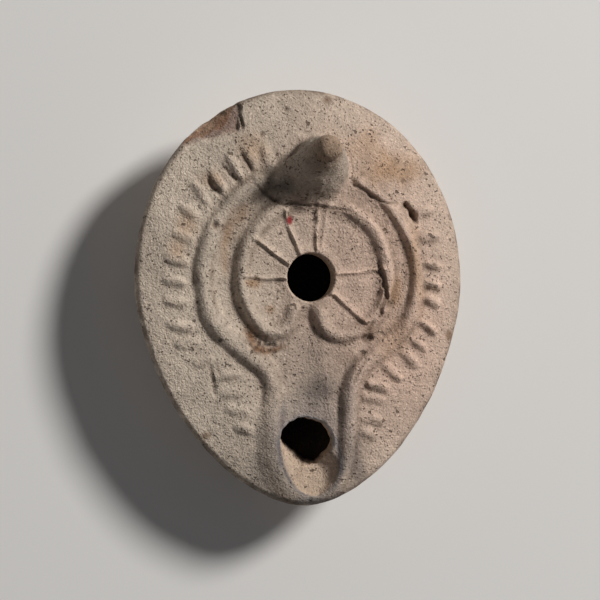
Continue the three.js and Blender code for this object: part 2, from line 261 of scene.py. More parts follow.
# Sand baked on below the rosette's left lobe: place in x and y, and half sizes
SAND_SPOT = (-9.6, -10.2, 4.0, 2.2)

# Knob handle
KNOB_BASE = np.array([-0.3, 28.3, 19.0])
KNOB_TIP = np.array([2.15, 31.8, 32.9])
KNOB_RADII = np.array([10.7, 8.2])
KNOB_FRONT = 10.7
KNOB_TIP_RADIUS = 3.05
KNOB_FLARE = 0.95
KNOB_FLANK_FLARE = 1.75
KNOB_FLANK_SPREAD = math.radians(55)
KNOB_PINCH = 0.7
KNOB_PINCH_RISE = 0.2
KNOB_PINCH_WAY = math.radians(140)
KNOB_PINCH_SPREAD = math.radians(42)
KNOB_FILLET = 1.6
# Level above which the knob no longer meets the shoulder, and those between which cracks end on it
KNOB_FREE_LEVEL = 24.0
BELOW_KNOB = 20.0
KNOB_CRACK_END = (22.0, 24.0)
THUMB_PLACE = np.array([-6.2, 23.4, 25.6])
THUMB_RADIUS = 3.4
THUMB_SHARE = 0.9

# Break in the rim
CHIP_START = np.array([-28.6, 32.2])
CHIP_CORNER = np.array([-19.0, 35.9])
CHIP_END = np.array([-13.4, 42.9])
CHIP_HEIGHT = 18.6
CHIP_LEAN = 1.0
CHIP_REACH = 4.0
CHIP_FADE = (0.02, 0.2)

# Way towards the main light, seen from above
KEY_WAY = np.array([0.604, 0.472])

# The uneven skin starts a little inside the true one and dies out above the foot
SKIN_INSET = 0.15
STANDING = (0.4, 2.5)

# Seeded unevenness in layers: strength, size in millimetres and seed (and octaves, where not three)
WEAR_MIDDLE = 0.92
WEAR = (0.14, 6.0, 21)
WARP_X = ((0.32, 7.0, 31), (0.1, 2.4, 33))
WARP_Y = ((0.32, 7.0, 32), (0.1, 2.4, 34))
RAY_UNEVEN = (0.35, 2.2, 37)
RIB_UNEVEN = (0.35, 2.6, 39)
TOP_ROUGH = ((0.08, 5.0, 41), (0.035, 1.6, 51))
SAND_ROUGH = (0.45, 0.85, 55)
HOLLOW_ROUGH = (0.1, 1.8, 61)
CRACK_X = (0.3, 1.3, 71)
CRACK_Y = (0.3, 1.3, 72)
PIT_EDGE = (0.4, 0.9, 73)
FLAKE_EDGE = (0.3, 1.8, 75)
PATCH_X = (1.6, 5.0, 81)
PATCH_Y = (1.6, 5.0, 91)
TIP_EDGE = (1.2, 3.0, 101)
FRACTURE_MOTTLE = (1.0, 3.0, 111)
MOTTLE = ((0.08, 9.0, 121), (0.07, 1.8, 131))
SAND_MOTTLE = (1.1, 0.7, 133)
CHIP_ROUGH = (0.35, 4.0, 141, 4)
CHIP_GRAIN = (0.2, 1.2, 145)
SKIN_ROUGH = ((0.16, 14.0, 151), (0.035, 3.0, 161), (0.02, 1.1, 171))
KNOB_ROUGH = ((0.14, 2.6, 175), (0.07, 1.0, 179))
SIDE_ROUGH = (0.35, 2.0, 181)
RAY_PAINTED_SHADE_UNEVEN = (0.6, 1.4, 185)
RIM_UNEVEN = (0.4, 1.6, 187)
MOULDING_UNEVEN = ((1.1, 0.8, 189), (0.6, 3.5, 191))
RIB_HIGHLIGHT_UNEVEN = (1.0, 1.2, 193)

# Whole numbers that scatter the noise lattice, and its shift away from nought
HASH_STEPS = (374761393, 668265263, 1442695041)
HASH_SEED = 97531
HASH_MIX = 1274126177
NOISE_SHIFT = 64.0
# Guards against division by nothing
TINY = 1e-12
FAR = 1e9

# Fineness of the mesh
PATH_STEP = 0.8
RIDGE_STRAIGHT_POINTS = 18
RIDGE_TIP_POINTS = 22
TROUGH_POINTS = 25
ANGLE_SAMPLES = 7201
OUTLINE_POINTS = 720
SHEET_STEP = 0.335
SHEET_CLEAR = 0.6
CORNER_MERGE = 1e-6
RIM_RINGS = 15
BOWL_RINGS = 22
FOOT_EDGE = 0.35
FOOT_GROOVE_SHARES = (0.25, 0.5, 0.75)
FOOT_SHARES = (0.2, 0.45, 0.7, 0.88)
KNOB_POINTS = 160
KNOB_RINGS = 38
KNOB_DOME_RINGS = 14
FILL_POINTS = 104
WICK_POINTS = 136
CHAMBER_POINTS = 190
CHAMBER_RINGS = 10
CEILING_STEP = 1.25
CEILING_CLEAR = 0.55
CEILING_REACH = 30.0
CEILING_WICK_CLEAR = 1.12
SUNK_PASSES = 5
SUNK_BLEND = 0.6
SUNK_GAIN = 3


def smooth(low, high, value):
    share = np.clip((value - low) / (high - low), 0.0, 1.0)
    return share * share * (3.0 - 2.0 * share)


def mix(start, end, share):
    return start + (end - start) * share


def lattice(cell, seed):
    number = sum(place * step for place, step in zip(cell, HASH_STEPS)) + seed * HASH_SEED & 0xFFFFFFFF
    number = ((number ^ (number >> 13)) * HASH_MIX) & 0xFFFFFFFF
    return ((number ^ (number >> 16)) & 0xFFFF) / 32767.5 - 1.0


def noise(points, scale, seed):
    """Smooth seeded noise from -1 to 1 at points in millimetres."""
    place = points / scale + NOISE_SHIFT
    cell = np.floor(place).astype(np.int64)
    part = place - cell
    part = part ** 3 * (part * (part * 6 - 15) + 10)
    total = np.zeros(len(points))
    for corner in range(8):
        step = [(corner >> axis) & 1 for axis in range(3)]
        weight = np.ones(len(points))
        for axis in range(3):
            weight = weight * (part[:, axis] if step[axis] else 1 - part[:, axis])
        total += weight * lattice([cell[:, axis] + step[axis] for axis in range(3)], seed)
    return total


def rough(points, scale, seed, octaves=3, gain=0.5):
    total = np.zeros(len(points))
    for octave in range(octaves):
        total += gain ** octave * noise(points, scale / 2 ** octave, seed + octave)
    return total


def wavy(points, *layers):
    return sum(strength * noise(points, size, seed) for strength, size, seed in layers)


def rugged(points, *layers):
    return sum(strength * rough(points, *recipe) for strength, *recipe in layers)


def bell(distance, width):
    return np.exp(-(distance / width) ** 2)


def spot(x, y, place):
    """An oval patch that fades outwards, from its place and half sizes in plan."""
    middle_x, middle_y, half_x, half_y = place
    return np.exp(-(((x - middle_x) / half_x) ** 2 + ((y - middle_y) / half_y) ** 2))


def flat_points(x, y):
    return np.stack([x, y, np.zeros_like(x)], 1)


def lean(y):
    return NOSE_LEAN * np.maximum((WIDEST_Y - y) / FRONT_REACH, 0) ** 2


def plan_middle(y):
    return PLAN_X + lean(y)


def plan_half(along):
    """Reach and roundness of the plan in front of its widest line or behind it."""
    front = along < 0
    return np.where(front, FRONT_REACH, BACK_REACH), np.where(front, FRONT_ROUNDNESS, BACK_ROUNDNESS)


def plan_share(x, y, cut=(0.0, 0.0, 0.0)):
    """Share of the plan, narrowed at its sides, back and front, on whose outline a place lies."""
    side, back, front = cut
    along = y - WIDEST_Y
    reach, power = plan_half(along)
    across = np.abs(x - plan_middle(y)) / (HALF_WIDTH - side)
    forward = np.abs(along) / (reach - np.where(along < 0, front, back))
    return (across ** power + forward ** power) ** (1 / power)


def inset(x, y):
    """Distance from a place to the plan's outline, taken square to it."""
    reach, power = plan_half(y - WIDEST_Y)
    across = np.abs(x - plan_middle(y)) / HALF_WIDTH
    forward = np.abs(y - WIDEST_Y) / reach
    share = plan_share(x, y)
    slope = np.hypot(across ** (power - 1) / HALF_WIDTH, forward ** (power - 1) / reach)
    depth = (1 - share) * share ** (power - 1) / np.maximum(slope, TINY)
    return np.where(share < 0.01, HALF_WIDTH, depth)


def top_height(x, y):
    """Height of the upper mould's plain surface."""
    depth = np.maximum(inset(x, y), 0)
    rim = 1 - np.minimum(depth / RIM_WIDTH, 1)
    run = 1 - np.minimum(depth / SHOULDER_RUN, 1)
    return SEAM_HEIGHT + RIM_RISE * np.sqrt(1 - rim ** 2) + SHOULDER_RISE * (1 - run ** SHOULDER_CURVE)


def plan_ring(share, angles, cut=(0.0, 0.0, 0.0)):
    """Places on a share of the plan's outline, narrowed at its sides, back and front."""
    side, back, front = cut
    forward = np.sin(angles)
    across = np.cos(angles)
    reach, power = plan_half(forward)
    length = reach - np.where(forward < 0, front, back)
    x = np.sign(across) * np.abs(across) ** (2 / power) * (HALF_WIDTH - side) * share
    y = WIDEST_Y + np.sign(forward) * np.abs(forward) ** (2 / power) * length * share
    return x + plan_middle(y), y


def even_angles(count):
    """Angles whose places on the outline lie evenly along it."""
    angles = np.linspace(0, 2 * math.pi, ANGLE_SAMPLES)
    x, y = plan_ring(1.0, angles)
    length = np.concatenate([[0], np.cumsum(np.hypot(np.diff(x), np.diff(y)))])
    return np.interp(np.arange(count) / count * length[-1], length, angles)


def walk(start, heading, legs):
    """Points of a path made of arcs and straights, from a start and a heading."""
    points = [np.array(start, float)]
    way = heading
    for length, bend in legs:
        count = max(math.ceil(length / PATH_STEP), 1)
        for _ in range(count):
            middle = way + bend / count / 2
            points.append(points[-1] + length / count * np.array([math.cos(middle), math.sin(middle)]))
            way += bend / count
    return np.array(points)


def arc(radius, bend):
    return abs(radius * bend), bend


def ridge_half(side):
    """Half of the moulding's line, from the knob round the discus and down to the nozzle's tip."""
    start = RIDGE_RADIUS * np.array([math.sin(RIDGE_GAP), math.cos(RIDGE_GAP)])
    slant = math.cos(RIDGE_HIP_SLANT)
    hip = math.cos(RIDGE_CIRCLE_END)
    hip_x = RIDGE_RADIUS * hip - RIDGE_HIP_RADIUS * (hip - slant)
    neck_x = CHANNEL_HALF_WIDTH + RIDGE_NECK_RADIUS * (1 - slant)
    flank = walk(start, -RIDGE_GAP, [
        arc(RIDGE_RADIUS, RIDGE_GAP - math.pi / 2 - RIDGE_CIRCLE_END),
        arc(RIDGE_HIP_RADIUS, RIDGE_CIRCLE_END - RIDGE_HIP_SLANT),
        ((hip_x - neck_x) / math.sin(RIDGE_HIP_SLANT), 0.0),
        arc(RIDGE_NECK_RADIUS, RIDGE_HIP_SLANT),
    ])
    tip_y = WIDEST_Y - FRONT_REACH + NOZZLE_LIP - RIDGE_Y
    end_y = tip_y + NOZZLE_END_LENGTH
    straight = np.linspace(flank[-1, 1], end_y, RIDGE_STRAIGHT_POINTS)[1:]
    turn = np.linspace(0, math.pi / 2, RIDGE_TIP_POINTS)[1:]
    across = CHANNEL_HALF_WIDTH * np.concatenate([np.ones(len(straight)), np.cos(turn)])
    x = np.concatenate([flank[:, 0], across])
    y = np.concatenate([flank[:, 1], straight, end_y - NOZZLE_END_LENGTH * np.sin(turn)]) + RIDGE_Y
    return np.stack([RIDGE_X + side * x + RIDGE_LEAN_SHARE * lean(y), y], 1)


def rosette_half(side):
    """Half of the rosette's rim, from the top of its circle to the lobe's curled end by the trough."""
    lobe = LOBE_START[side]
    mouth = side * (MOUTH_X - ROSETTE_X) + MOUTH_HALF_WIDTH
    circle_x = ROSETTE_RADIUS * math.cos(lobe)
    end_x = LOBE_END_RADIUS * (math.cos(LOBE_LEVEL) - math.cos(LOBE_RETURN))
    end_x += LOBE_END_LENGTH * math.sin(LOBE_RETURN)
    lobe_radius = (circle_x - end_x - mouth) / (math.cos(lobe) - math.cos(LOBE_LEVEL))
    half = walk((0.0, ROSETTE_RADIUS), 0.0, [
        arc(ROSETTE_RADIUS, -math.pi / 2 - lobe),
        arc(lobe_radius, lobe - LOBE_LEVEL),
        arc(LOBE_END_RADIUS, LOBE_LEVEL - LOBE_RETURN),
        (LOBE_END_LENGTH, 0.0),
    ])
    return np.stack([ROSETTE_X + side * half[:, 0], ROSETTE_Y + half[:, 1]], 1)


RIDGE_PATH = np.concatenate([ridge_half(-1), ridge_half(1)[::-1][1:]])
ROSETTE_PATH = np.concatenate([rosette_half(-1)[::-1], rosette_half(1)[1:]])
ROSETTE_LOOP = np.concatenate([ROSETTE_PATH, ROSETTE_PATH[:1]])


def nearest(x, y, path):
    """Distance to a path, the same signed (positive on its left), and the share of its length."""
    best = np.full(len(x), FAR)
    signed = np.zeros(len(x))
    along = np.zeros(len(x))
    steps = np.diff(path, axis=0)
    lengths = np.hypot(steps[:, 0], steps[:, 1])
    starts = np.concatenate([[0], np.cumsum(lengths)])
    for start, step, length, before in zip(path[:-1], steps, lengths, starts):
        px = x - start[0]
        py = y - start[1]
        share = np.clip((px * step[0] + py * step[1]) / length ** 2, 0, 1)
        distance = np.hypot(px - share * step[0], py - share * step[1])
        closer = distance < best
        best = np.where(closer, distance, best)
        signed = np.where(closer, np.sign(step[0] * py - step[1] * px) * distance, signed)
        along = np.where(closer, (before + share * length) / starts[-1], along)
    return best, signed, along


def hump(share, power=1.05):
    """Cross-section of a rounded moulding, from 1 on its crest to 0 at its foot."""
    return np.maximum(1 - np.clip(share, 0, 1) ** 2, 0) ** power


# Places where the relief is worn down or was never crisp: x, y, radius, share that is left
WORN = (
    (-17.6, 18.3, 5.5, 0.55),
    (17.6, -9.3, 6.5, 0.6),
    (-19.0, -21.0, 7.0, 0.6),
    (22.0, 27.0, 6.0, 0.35),
    (14.0, -30.0, 6.0, 0.75),
    (-3.4, 21.4, 3.6, 0.25),
    (1.2, 21.8, 3.8, 0.2),
    (5.8, 21.2, 3.4, 0.3),
)

# Cracks as paths with a width and a depth, how open their ends stay, and how fast dirt fills them
CRACK_END_SHARE = 0.35
CRACK_DIRT = 1.4
CRACKS = (
    (
        ((16.2, 7.8), (16.7, 6.0), (17.4, 3.1), (18.0, -0.2), (16.9, -1.6), (16.7, -3.3), (16.0, -5.1)),
        0.38,
        1.2,
    ),
    (((14.9, -5.5), (13.7, -7.8)), 0.3, 0.6),
    (((10.3, 25.3), (12.6, 24.0), (14.6, 22.4), (17.0, 21.2), (20.6, 20.7)), 0.19, 0.6),
    (((-19.0, 29.2), (-17.0, 26.5), (-15.8, 25.6)), 0.25, 0.6),
    (((-22.2, 26.5), (-21.0, 23.8), (-19.2, 22.3)), 0.25, 0.5),
    (((-14.9, 32.3), (-13.3, 29.8), (-12.0, 26.9)), 0.25, 0.5),
    (((13.0, -13.3), (11.6, -16.0), (9.9, -19.3)), 0.32, 0.4),
    (((-21.3, -15.0), (-21.1, -18.0), (-20.4, -21.3)), 0.3, 0.4),
    (
        ((-12.8, 26.1), (-10.8, 23.6), (-8.3, 22.0), (-6.05, 20.6), (-3.3, 20.2), (3.5, 19.8), (9.9, 19.1)),
        0.2,
        0.65,
    ),
    (((-14.9, 43.6), (-14.6, 40.5), (-14.4, 36.4)), 0.27, 0.9),
    (((-19.9, -14.9), (-19.7, -17.5)), 0.2, 0.25),
    (((-23.6, 34.6), (-20.5, 35.3), (-18.2, 36.9), (-16.5, 39.6), (-15.2, 43.2)), 0.18, 0.35),
    (((22.6, 20.7), (23.4, 19.9), (24.0, 18.9), (24.4, 17.9), (25.0, 16.8)), 0.4, 1.3),
)

# Pits: x, y, radius, depth
PITS = (
    (22.6, 20.6, 0.7, 0.9),
    (24.3, 18.4, 0.55, 0.9),
    (-20.6, 15.5, 0.7, 0.9),
    (13.4, -9.1, 0.8, 0.9),
    (14.4, -9.0, 0.6, 0.8),
    (29.1, 7.4, 0.45, 0.4),
    (29.1, 2.3, 0.45, 0.4),
    (-9.9, 35.8, 0.35, 0.4),
    (-4.4, 41.4, 0.4, 0.5),
    (18.6, -1.4, 0.8, 0.6),
    (22.0, 26.0, 0.5, 0.3),
    (-11.5, 4.2, 0.5, 0.3),
)

# Sunken flake beside the break in the rim: the ends of its two inner edges, their widths, and its depth
FLAKE_START = np.array([-24.2, 33.2])
FLAKE_CORNER = np.array([-14.4, 35.7])
FLAKE_END = np.array([-14.9, 43.6])
FLAKE_EDGE_WIDTHS = (1.6, 0.5)
FLAKE_DEPTH = 1.0


def trough_path():
    """Line of the trough from the filling hole to the wick hole."""
    corners = np.array([
        [FILL_X, FILL_Y - FILL_RADIUS / 2],
        [MOUTH_X, ROSETTE_Y - ROSETTE_RADIUS],
        [WICK_X, WICK_Y],
    ])
    share = np.linspace(0, 1, TROUGH_POINTS)
    y = mix(corners[0, 1], corners[2, 1], share)
    x = np.interp(y, corners[::-1, 1], corners[::-1, 0])
    return np.stack([x, y], 1)


def recess_shape(y):
    """Middle, half width and depth, along the nozzle, of the hollow before the wick hole."""
    places, *columns = np.array(HOLLOW_ROWS).T
    left, right, depth = (np.interp(y, places, column) for column in columns)
    return (left + right) / 2, (right - left) / 2, depth


def flake(x, y):
    """How far each point lies in the sunken flake, from 0 outside it to 1."""
    share = np.ones_like(x)
    flat = flat_points(x, y)
    edges = ((FLAKE_START, FLAKE_CORNER), (FLAKE_CORNER, FLAKE_END))
    for (start, end), width in zip(edges, FLAKE_EDGE_WIDTHS):
        edge = (end - start) / np.hypot(*(end - start))
        inward = -edge[1] * (x - start[0]) + edge[0] * (y - start[1])
        share = share * smooth(0.0, width, inward + wavy(flat, FLAKE_EDGE))
    return share


def damage(x, y):
    """How deep cracks and pits cut at each point, and how dark the dirt in them is."""
    flat = flat_points(x, y)
    groove = np.zeros_like(x)
    deep = np.zeros_like(x)
    crack_x = x + wavy(flat, CRACK_X)
    crack_y = y + wavy(flat, CRACK_Y)
    for path, width, depth in CRACKS:
        away, _, share = nearest(crack_x, crack_y, np.array(path))
        cut = bell(away, width) * np.minimum(1, 4 * share * (1 - share) + CRACK_END_SHARE)
        deep += depth * cut
        groove = np.maximum(groove, cut * min(1.0, depth * CRACK_DIRT))
    pit_edge = 1 + wavy(flat, PIT_EDGE)
    for px, py, radius, depth in PITS:
        cut = np.exp(-((x - px) ** 2 + (y - py) ** 2) / radius ** 2 * pit_edge)
        deep += depth * cut
        groove = np.maximum(groove, cut)
    deep += FLAKE_DEPTH * flake(x, y)
    return deep, groove


def rib_offsets(x, y):
    """For each rib its strength, and from its groove's line the distance, the same signed (positive on
    the shaded side), and a share that fades past its ends."""
    for line, strength in RIBS:
        line = np.array(line)
        ahead = line[-1] - line[0]
        shade = 1 if -ahead[1] * KEY_WAY[0] + ahead[0] * KEY_WAY[1] < 0 else -1
        away, beside, _ = nearest(x, y, line)
        yield strength, away, beside * shade, bell(away - np.abs(beside), RIB_END_FADE)


def ray_offsets(x, y, ray):
    """Places along and across a ray from its middle, and its taper towards both ends."""
    ray_x, ray_y, degrees, length, _ = ray
    turn = math.radians(degrees)
    along = (x - ray_x) * math.cos(turn) + (y - ray_y) * math.sin(turn)
    across = -(x - ray_x) * math.sin(turn) + (y - ray_y) * math.cos(turn)
    return along, across, np.sqrt(np.maximum(1 - (2 * along / length) ** 2, 0))


def surface(x, y):
    """Height of the worn upper surface without its cracks, and how far each point lies in the recess."""
    flat = flat_points(x, y)
    base = top_height(x, y)
    keep = np.ones_like(x)
    for cx, cy, radius, left in WORN:
        keep *= 1 - (1 - left) * spot(x, y, (cx, cy, radius, radius))
    keep *= WEAR_MIDDLE + wavy(flat, WEAR)
    wx = x + wavy(flat, *WARP_X)
    wy = y + wavy(flat, *WARP_Y)

    _, signed, along = nearest(wx, wy, RIDGE_PATH)
    size = mix(1.0, RIDGE_TIP_SHARE, (1 - np.abs(2 * along - 1)) ** RIDGE_TIP_POWER)
    sections = [np.array(RIDGE_SECTIONS[side]).T for side in (-1, 1)]
    outside, inside, rise = (
        np.where(along < 0.5, *(np.interp(y, section[0], section[row]) for section in sections))
        for row in (1, 2, 3)
    )
    ridge = rise * size * hump(np.abs(signed) / (np.where(signed < 0, outside, inside) * size))

    _, around, _ = nearest(wx, wy, ROSETTE_LOOP)
    from_rim, _, _ = nearest(wx, wy, ROSETTE_PATH)
    around = -around
    rim_width = np.where(around > 0, ROSETTE_INNER, ROSETTE_OUTER)
    rim = hump(from_rim / rim_width)
    plate = ROSETTE_PLATE * smooth(*PLATE_FADE, around)
    band = -BAND_DEPTH * smooth(*RIDGE_INSIDE, signed) * smooth(*BAND_FADE, -around) * smooth(*BAND_FRONT, y)

    reach = np.hypot(x - FILL_X, y - FILL_Y)
    dish = PETAL_DISH * smooth(*DISH_FADE, around) * smooth(FILL_RADIUS, FILL_RADIUS + DISH_HOLE_RUN, reach)
    petals = plate - dish
    for strength, away, beside, ends in rib_offsets(wx, wy):
        ends = ends * smooth(*RIB_OUTER_FADE, around)
        fall = np.where(beside > -RIB_CREST, RIB_STEEP_SIDE, RIB_GENTLE_SIDE)
        crest = RIB_RISE * bell(beside + RIB_CREST, fall)
        groove = RIB_GROOVE * bell(away, RIB_GROOVE_WIDTH)
        petals = petals + strength * ends * (crest - groove) * (1 + wavy(flat, RIB_UNEVEN))
    rosette = petals + (ROSETTE_RISE - plate) * rim * keep

    rays = np.zeros_like(x)
    draw = np.random.default_rng(RAY_SEED)
    for ray in RAYS:
        wide, skew = draw.uniform(-1, 1, 2)
        along, across, taper = ray_offsets(wx, wy, ray)
        across = across + RAY_BEND * skew * along ** 2
        wide_here = RAY_HALF_WIDTH * (1 + RAY_WIDTH_SPREAD * wide) * mix(RAY_TIP_SHARE, 1.0, taper)
        rays = np.maximum(rays, RAY_RISE * ray[-1] * taper * hump(np.abs(across) / wide_here))
    rays *= (1 + wavy(flat, RAY_UNEVEN)) * keep * keep

    from_trough, _, run = nearest(x, y, trough_path())
    grown = mix(TROUGH_START_SHARE, 1.0, run)
    trough = TROUGH_DEPTH * grown * hump(from_trough / (TROUGH_HALF_WIDTH * grown), power=1.0)

    z = base + ridge * keep + band + rosette * smooth(*ROSETTE_FADE, around) + rays - trough
    z += rugged(flat, *TOP_ROUGH) + wavy(flat, SAND_ROUGH) * spot(x, y, SAND_SPOT)

    middle, half, hollow = recess_shape(y)
    across = np.abs(x - middle) / half
    ahead = smooth(*HOLLOW_RANGE, y + HOLLOW_SLANT * (x - middle)) * (y > LIP_Y) * (across < 1)
    steep = 1 - np.clip(across, 0, 1) ** np.where(x > middle, HOLLOW_RIGHT_POWER, HOLLOW_LEFT_POWER)
    floor_height = base - hollow + rugged(flat, HOLLOW_ROUGH)
    recess = ahead * steep
    z = np.where(floor_height < z, mix(z, floor_height, recess), z)

    for distance, share in ((reach - FILL_RADIUS, 1), (wick_distance(x, y), 1 - recess)):
        gap = np.clip(1 - distance / HOLE_ROUNDING, 0, 1) * share
        z -= HOLE_ROUNDING * (1 - np.sqrt(1 - np.minimum(gap, ROUNDING_LIMIT) ** 2))
    return z, recess


def wick_reach(angles):
    """Radius of the wick hole's edge at an angle round its middle."""
    across = np.cos(angles) / WICK_HALF_WIDTH
    forward = np.sin(angles) / WICK_REACH
    ragged = sum(depth * np.sin(times * angles + start) for depth, times, start in WICK_WAVES)
    return (across ** 2 + forward ** 2) ** -0.5 + ragged


def wick_distance(x, y):
    """Distance from the wick hole's edge, below nought inside the hole."""
    angles = np.arctan2(y - WICK_Y, x - WICK_X)
    return np.hypot(x - WICK_X, y - WICK_Y) - wick_reach(angles)


def knob_distance(x, y):
    """Distance from the knob's base as a share of its half widths, below nought inside it."""
    radius = np.where(y < KNOB_BASE[1], KNOB_FRONT, KNOB_RADII[1])
    return np.hypot((x - KNOB_BASE[0]) / KNOB_RADII[0], (y - KNOB_BASE[1]) / radius) - 1


def hexagonal(step):
    """Evenly spread places over the plan and a little past it."""
    xs = np.arange(-HALF_WIDTH - 1, HALF_WIDTH + 1, step)
    ys = np.arange(WIDEST_Y - FRONT_REACH - 1, WIDEST_Y + BACK_REACH + 1, step * math.sqrt(0.75))
    grid_x, grid_y = np.meshgrid(xs, ys)
    grid_x = grid_x + (np.arange(len(ys)) % 2)[:, None] * step / 2
    return grid_x.ravel(), grid_y.ravel()


def sheet(rings, step, is_clear):
    """Triangles over the plan between closed rings, with evenly spread points in between. is_clear tells
    which places lie between the rings (margin 0), or between and well away from them (margin 1)."""
    x, y = hexagonal(step)
    kept = is_clear(x, y, 1)
    x, y = x[kept], y[kept]
    ring_points = np.concatenate(rings)
    points = np.concatenate([ring_points, np.stack([x, y], 1)])
    edges = []
    first = 0
    for ring in rings:
        count = len(ring)
        edges += [(first + index, first + (index + 1) % count) for index in range(count)]
        first += count
    corners = [Vector(point) for point in points.tolist()]
    made = geometry.delaunay_2d_cdt(corners, edges, [], 0, CORNER_MERGE)
    faces = np.array([face for face in made[2] if len(face) == 3])
    if len(made[0]) != len(points):
        raise ValueError("the sheet's triangles moved its points")
    middle = points[faces].mean(1)
    return points, faces[is_clear(middle[:, 0], middle[:, 1], 0)]


class Mesh:
    """Gathers points and faces of one closed skin."""

    def __init__(self):
        self.points = []
        self.faces = []
        self.count = 0

    def add_points(self, points):
        first = self.count
        self.points.append(np.asarray(points, float))
        self.count += len(points)
        return first + np.arange(len(points))

    def add_faces(self, faces):
        self.faces += [tuple(face) for face in np.asarray(faces).tolist()]

    def band(self, one, other):
        a, b = np.asarray(one), np.asarray(other)
        c, d = np.roll(b, -1), np.roll(a, -1)
        self.add_faces(np.stack([a, b, c], 1))
        self.add_faces(np.stack([a, c, d], 1))

    def halving_band(self, fine, coarse):
        even, odd, after = fine[0::2], fine[1::2], np.roll(fine[0::2], -1)
        following = np.roll(coarse, -1)
        self.add_faces(np.stack([even, odd, coarse], 1))
        self.add_faces(np.stack([odd, following, coarse], 1))
        self.add_faces(np.stack([odd, after, following], 1))

    def fan(self, ring, point):
        middle = self.add_points([point])[0]
        self.add_faces(np.stack([ring, np.roll(ring, -1), np.full(len(ring), middle)], 1))


def ring3(x, y, z):
    return np.stack([x, y, np.broadcast_to(z, np.shape(x))], 1)


def around_ring(count):
    turn = np.arange(count) / count * 2 * math.pi
    return np.cos(turn), np.sin(turn), turn


def bowl_share(level, floor, widest):
    """Share of the full plan that a bowl reaches at a height, from its floor to its widest level."""
    foot = FOOT_HALF_WIDTH / HALF_WIDTH
    down = (widest - level) / (widest - floor)
    return foot + (1 - foot) * (1 - down ** BOWL_CURVE) ** (1 / BOWL_CURVE)


def outer_skin(mesh):
    """Upper surface, rim, bowl and foot. Returns the loops round the knob and the holes, and the masks."""
    angles = even_angles(OUTLINE_POINTS)
    edge_share = 1 - RIM_WIDTH / HALF_WIDTH
    edge = np.stack(plan_ring(edge_share, angles), 1)
    cosine, sine, _ = around_ring(KNOB_POINTS)
    forward = np.where(sine < 0, KNOB_FRONT, KNOB_RADII[1])
    knob_ring = KNOB_BASE[:2] + np.stack([KNOB_RADII[0] * cosine, forward * sine], 1)
    cosine, sine, _ = around_ring(FILL_POINTS)
    fill_ring = np.array([FILL_X, FILL_Y]) + FILL_RADIUS * np.stack([cosine, sine], 1)
    cosine, sine, turn = around_ring(WICK_POINTS)
    wick_ring = np.array([WICK_X, WICK_Y]) + wick_reach(turn)[:, None] * np.stack([cosine, sine], 1)
    near = SHEET_STEP * SHEET_CLEAR

    def is_clear(x, y, margin):
        gap = near * margin
        clear = plan_share(x, y) < edge_share - gap / HALF_WIDTH
        clear &= knob_distance(x, y) > gap / KNOB_RADII[1]
        clear &= np.hypot(x - FILL_X, y - FILL_Y) > FILL_RADIUS + gap
        return clear & (wick_distance(x, y) > gap)

    points, faces = sheet([edge, knob_ring, fill_ring, wick_ring], SHEET_STEP, is_clear)
    z, recess = surface(points[:, 0], points[:, 1])
    deep, groove = damage(points[:, 0], points[:, 1])
    numbers = mesh.add_points(ring3(points[:, 0], points[:, 1], z - deep))
    mesh.add_faces(numbers[faces])
    starts = np.cumsum([0, len(edge), len(knob_ring), len(fill_ring), len(wick_ring)])
    loops = [numbers[low:high] for low, high in zip(starts[:-1], starts[1:])]
    masks = [np.stack([groove, recess], 1)]

    last = loops[0]
    for step in range(RIM_RINGS - 1, -1, -1):
        roll = step / RIM_RINGS * math.pi / 2
        x, y = plan_ring(1 - RIM_WIDTH * (1 - math.cos(roll)) / HALF_WIDTH, angles)
        blend = smooth(0.0, 1.0, roll / (math.pi / 2))
        z, recess = surface(x, y)
        deep, groove = damage(x, y)
        z = mix(top_height(x, y), z - deep, blend)
        ring = mesh.add_points(ring3(x, y, z))
        masks.append(np.stack([groove * blend, recess * blend], 1))
        mesh.band(last, ring)
        last = ring

    half_angles = angles[0::2]
    for step in range(BOWL_RINGS - 1, -1, -1):
        level = SEAM_HEIGHT - (SEAM_HEIGHT - FOOT_HEIGHT) * math.cos(step / BOWL_RINGS * math.pi / 2)
        x, y = plan_ring(bowl_share(level, FOOT_HEIGHT, SEAM_HEIGHT), half_angles)
        ring = mesh.add_points(ring3(x, y, level))
        if len(last) == OUTLINE_POINTS:
            mesh.halving_band(last, ring)
        else:
            mesh.band(last, ring)
        last = ring
    foot = FOOT_HALF_WIDTH / HALF_WIDTH
    groove_end = FOOT_GROOVE_INSET + FOOT_GROOVE_WIDTH
    profile = [(0.0, FOOT_EDGE), (FOOT_EDGE, 0.0), (FOOT_GROOVE_INSET, 0.0)]
    for share in FOOT_GROOVE_SHARES:
        depth = FOOT_GROOVE_DEPTH * math.sin(share * math.pi)
        profile.append((FOOT_GROOVE_INSET + FOOT_GROOVE_WIDTH * share, depth))
    profile.append((groove_end, 0.0))
    profile += [(mix(groove_end, FOOT_HALF_WIDTH, share), 0.0) for share in FOOT_SHARES]
    for distance, level in profile:
        x, y = plan_ring(foot - distance / HALF_WIDTH, half_angles)
        ring = mesh.add_points(ring3(x, y, level))
        mesh.band(last, ring)
        last = ring
    mesh.fan(last, (0.0, WIDEST_Y, 0.0))
    return loops[1:], np.concatenate(masks)


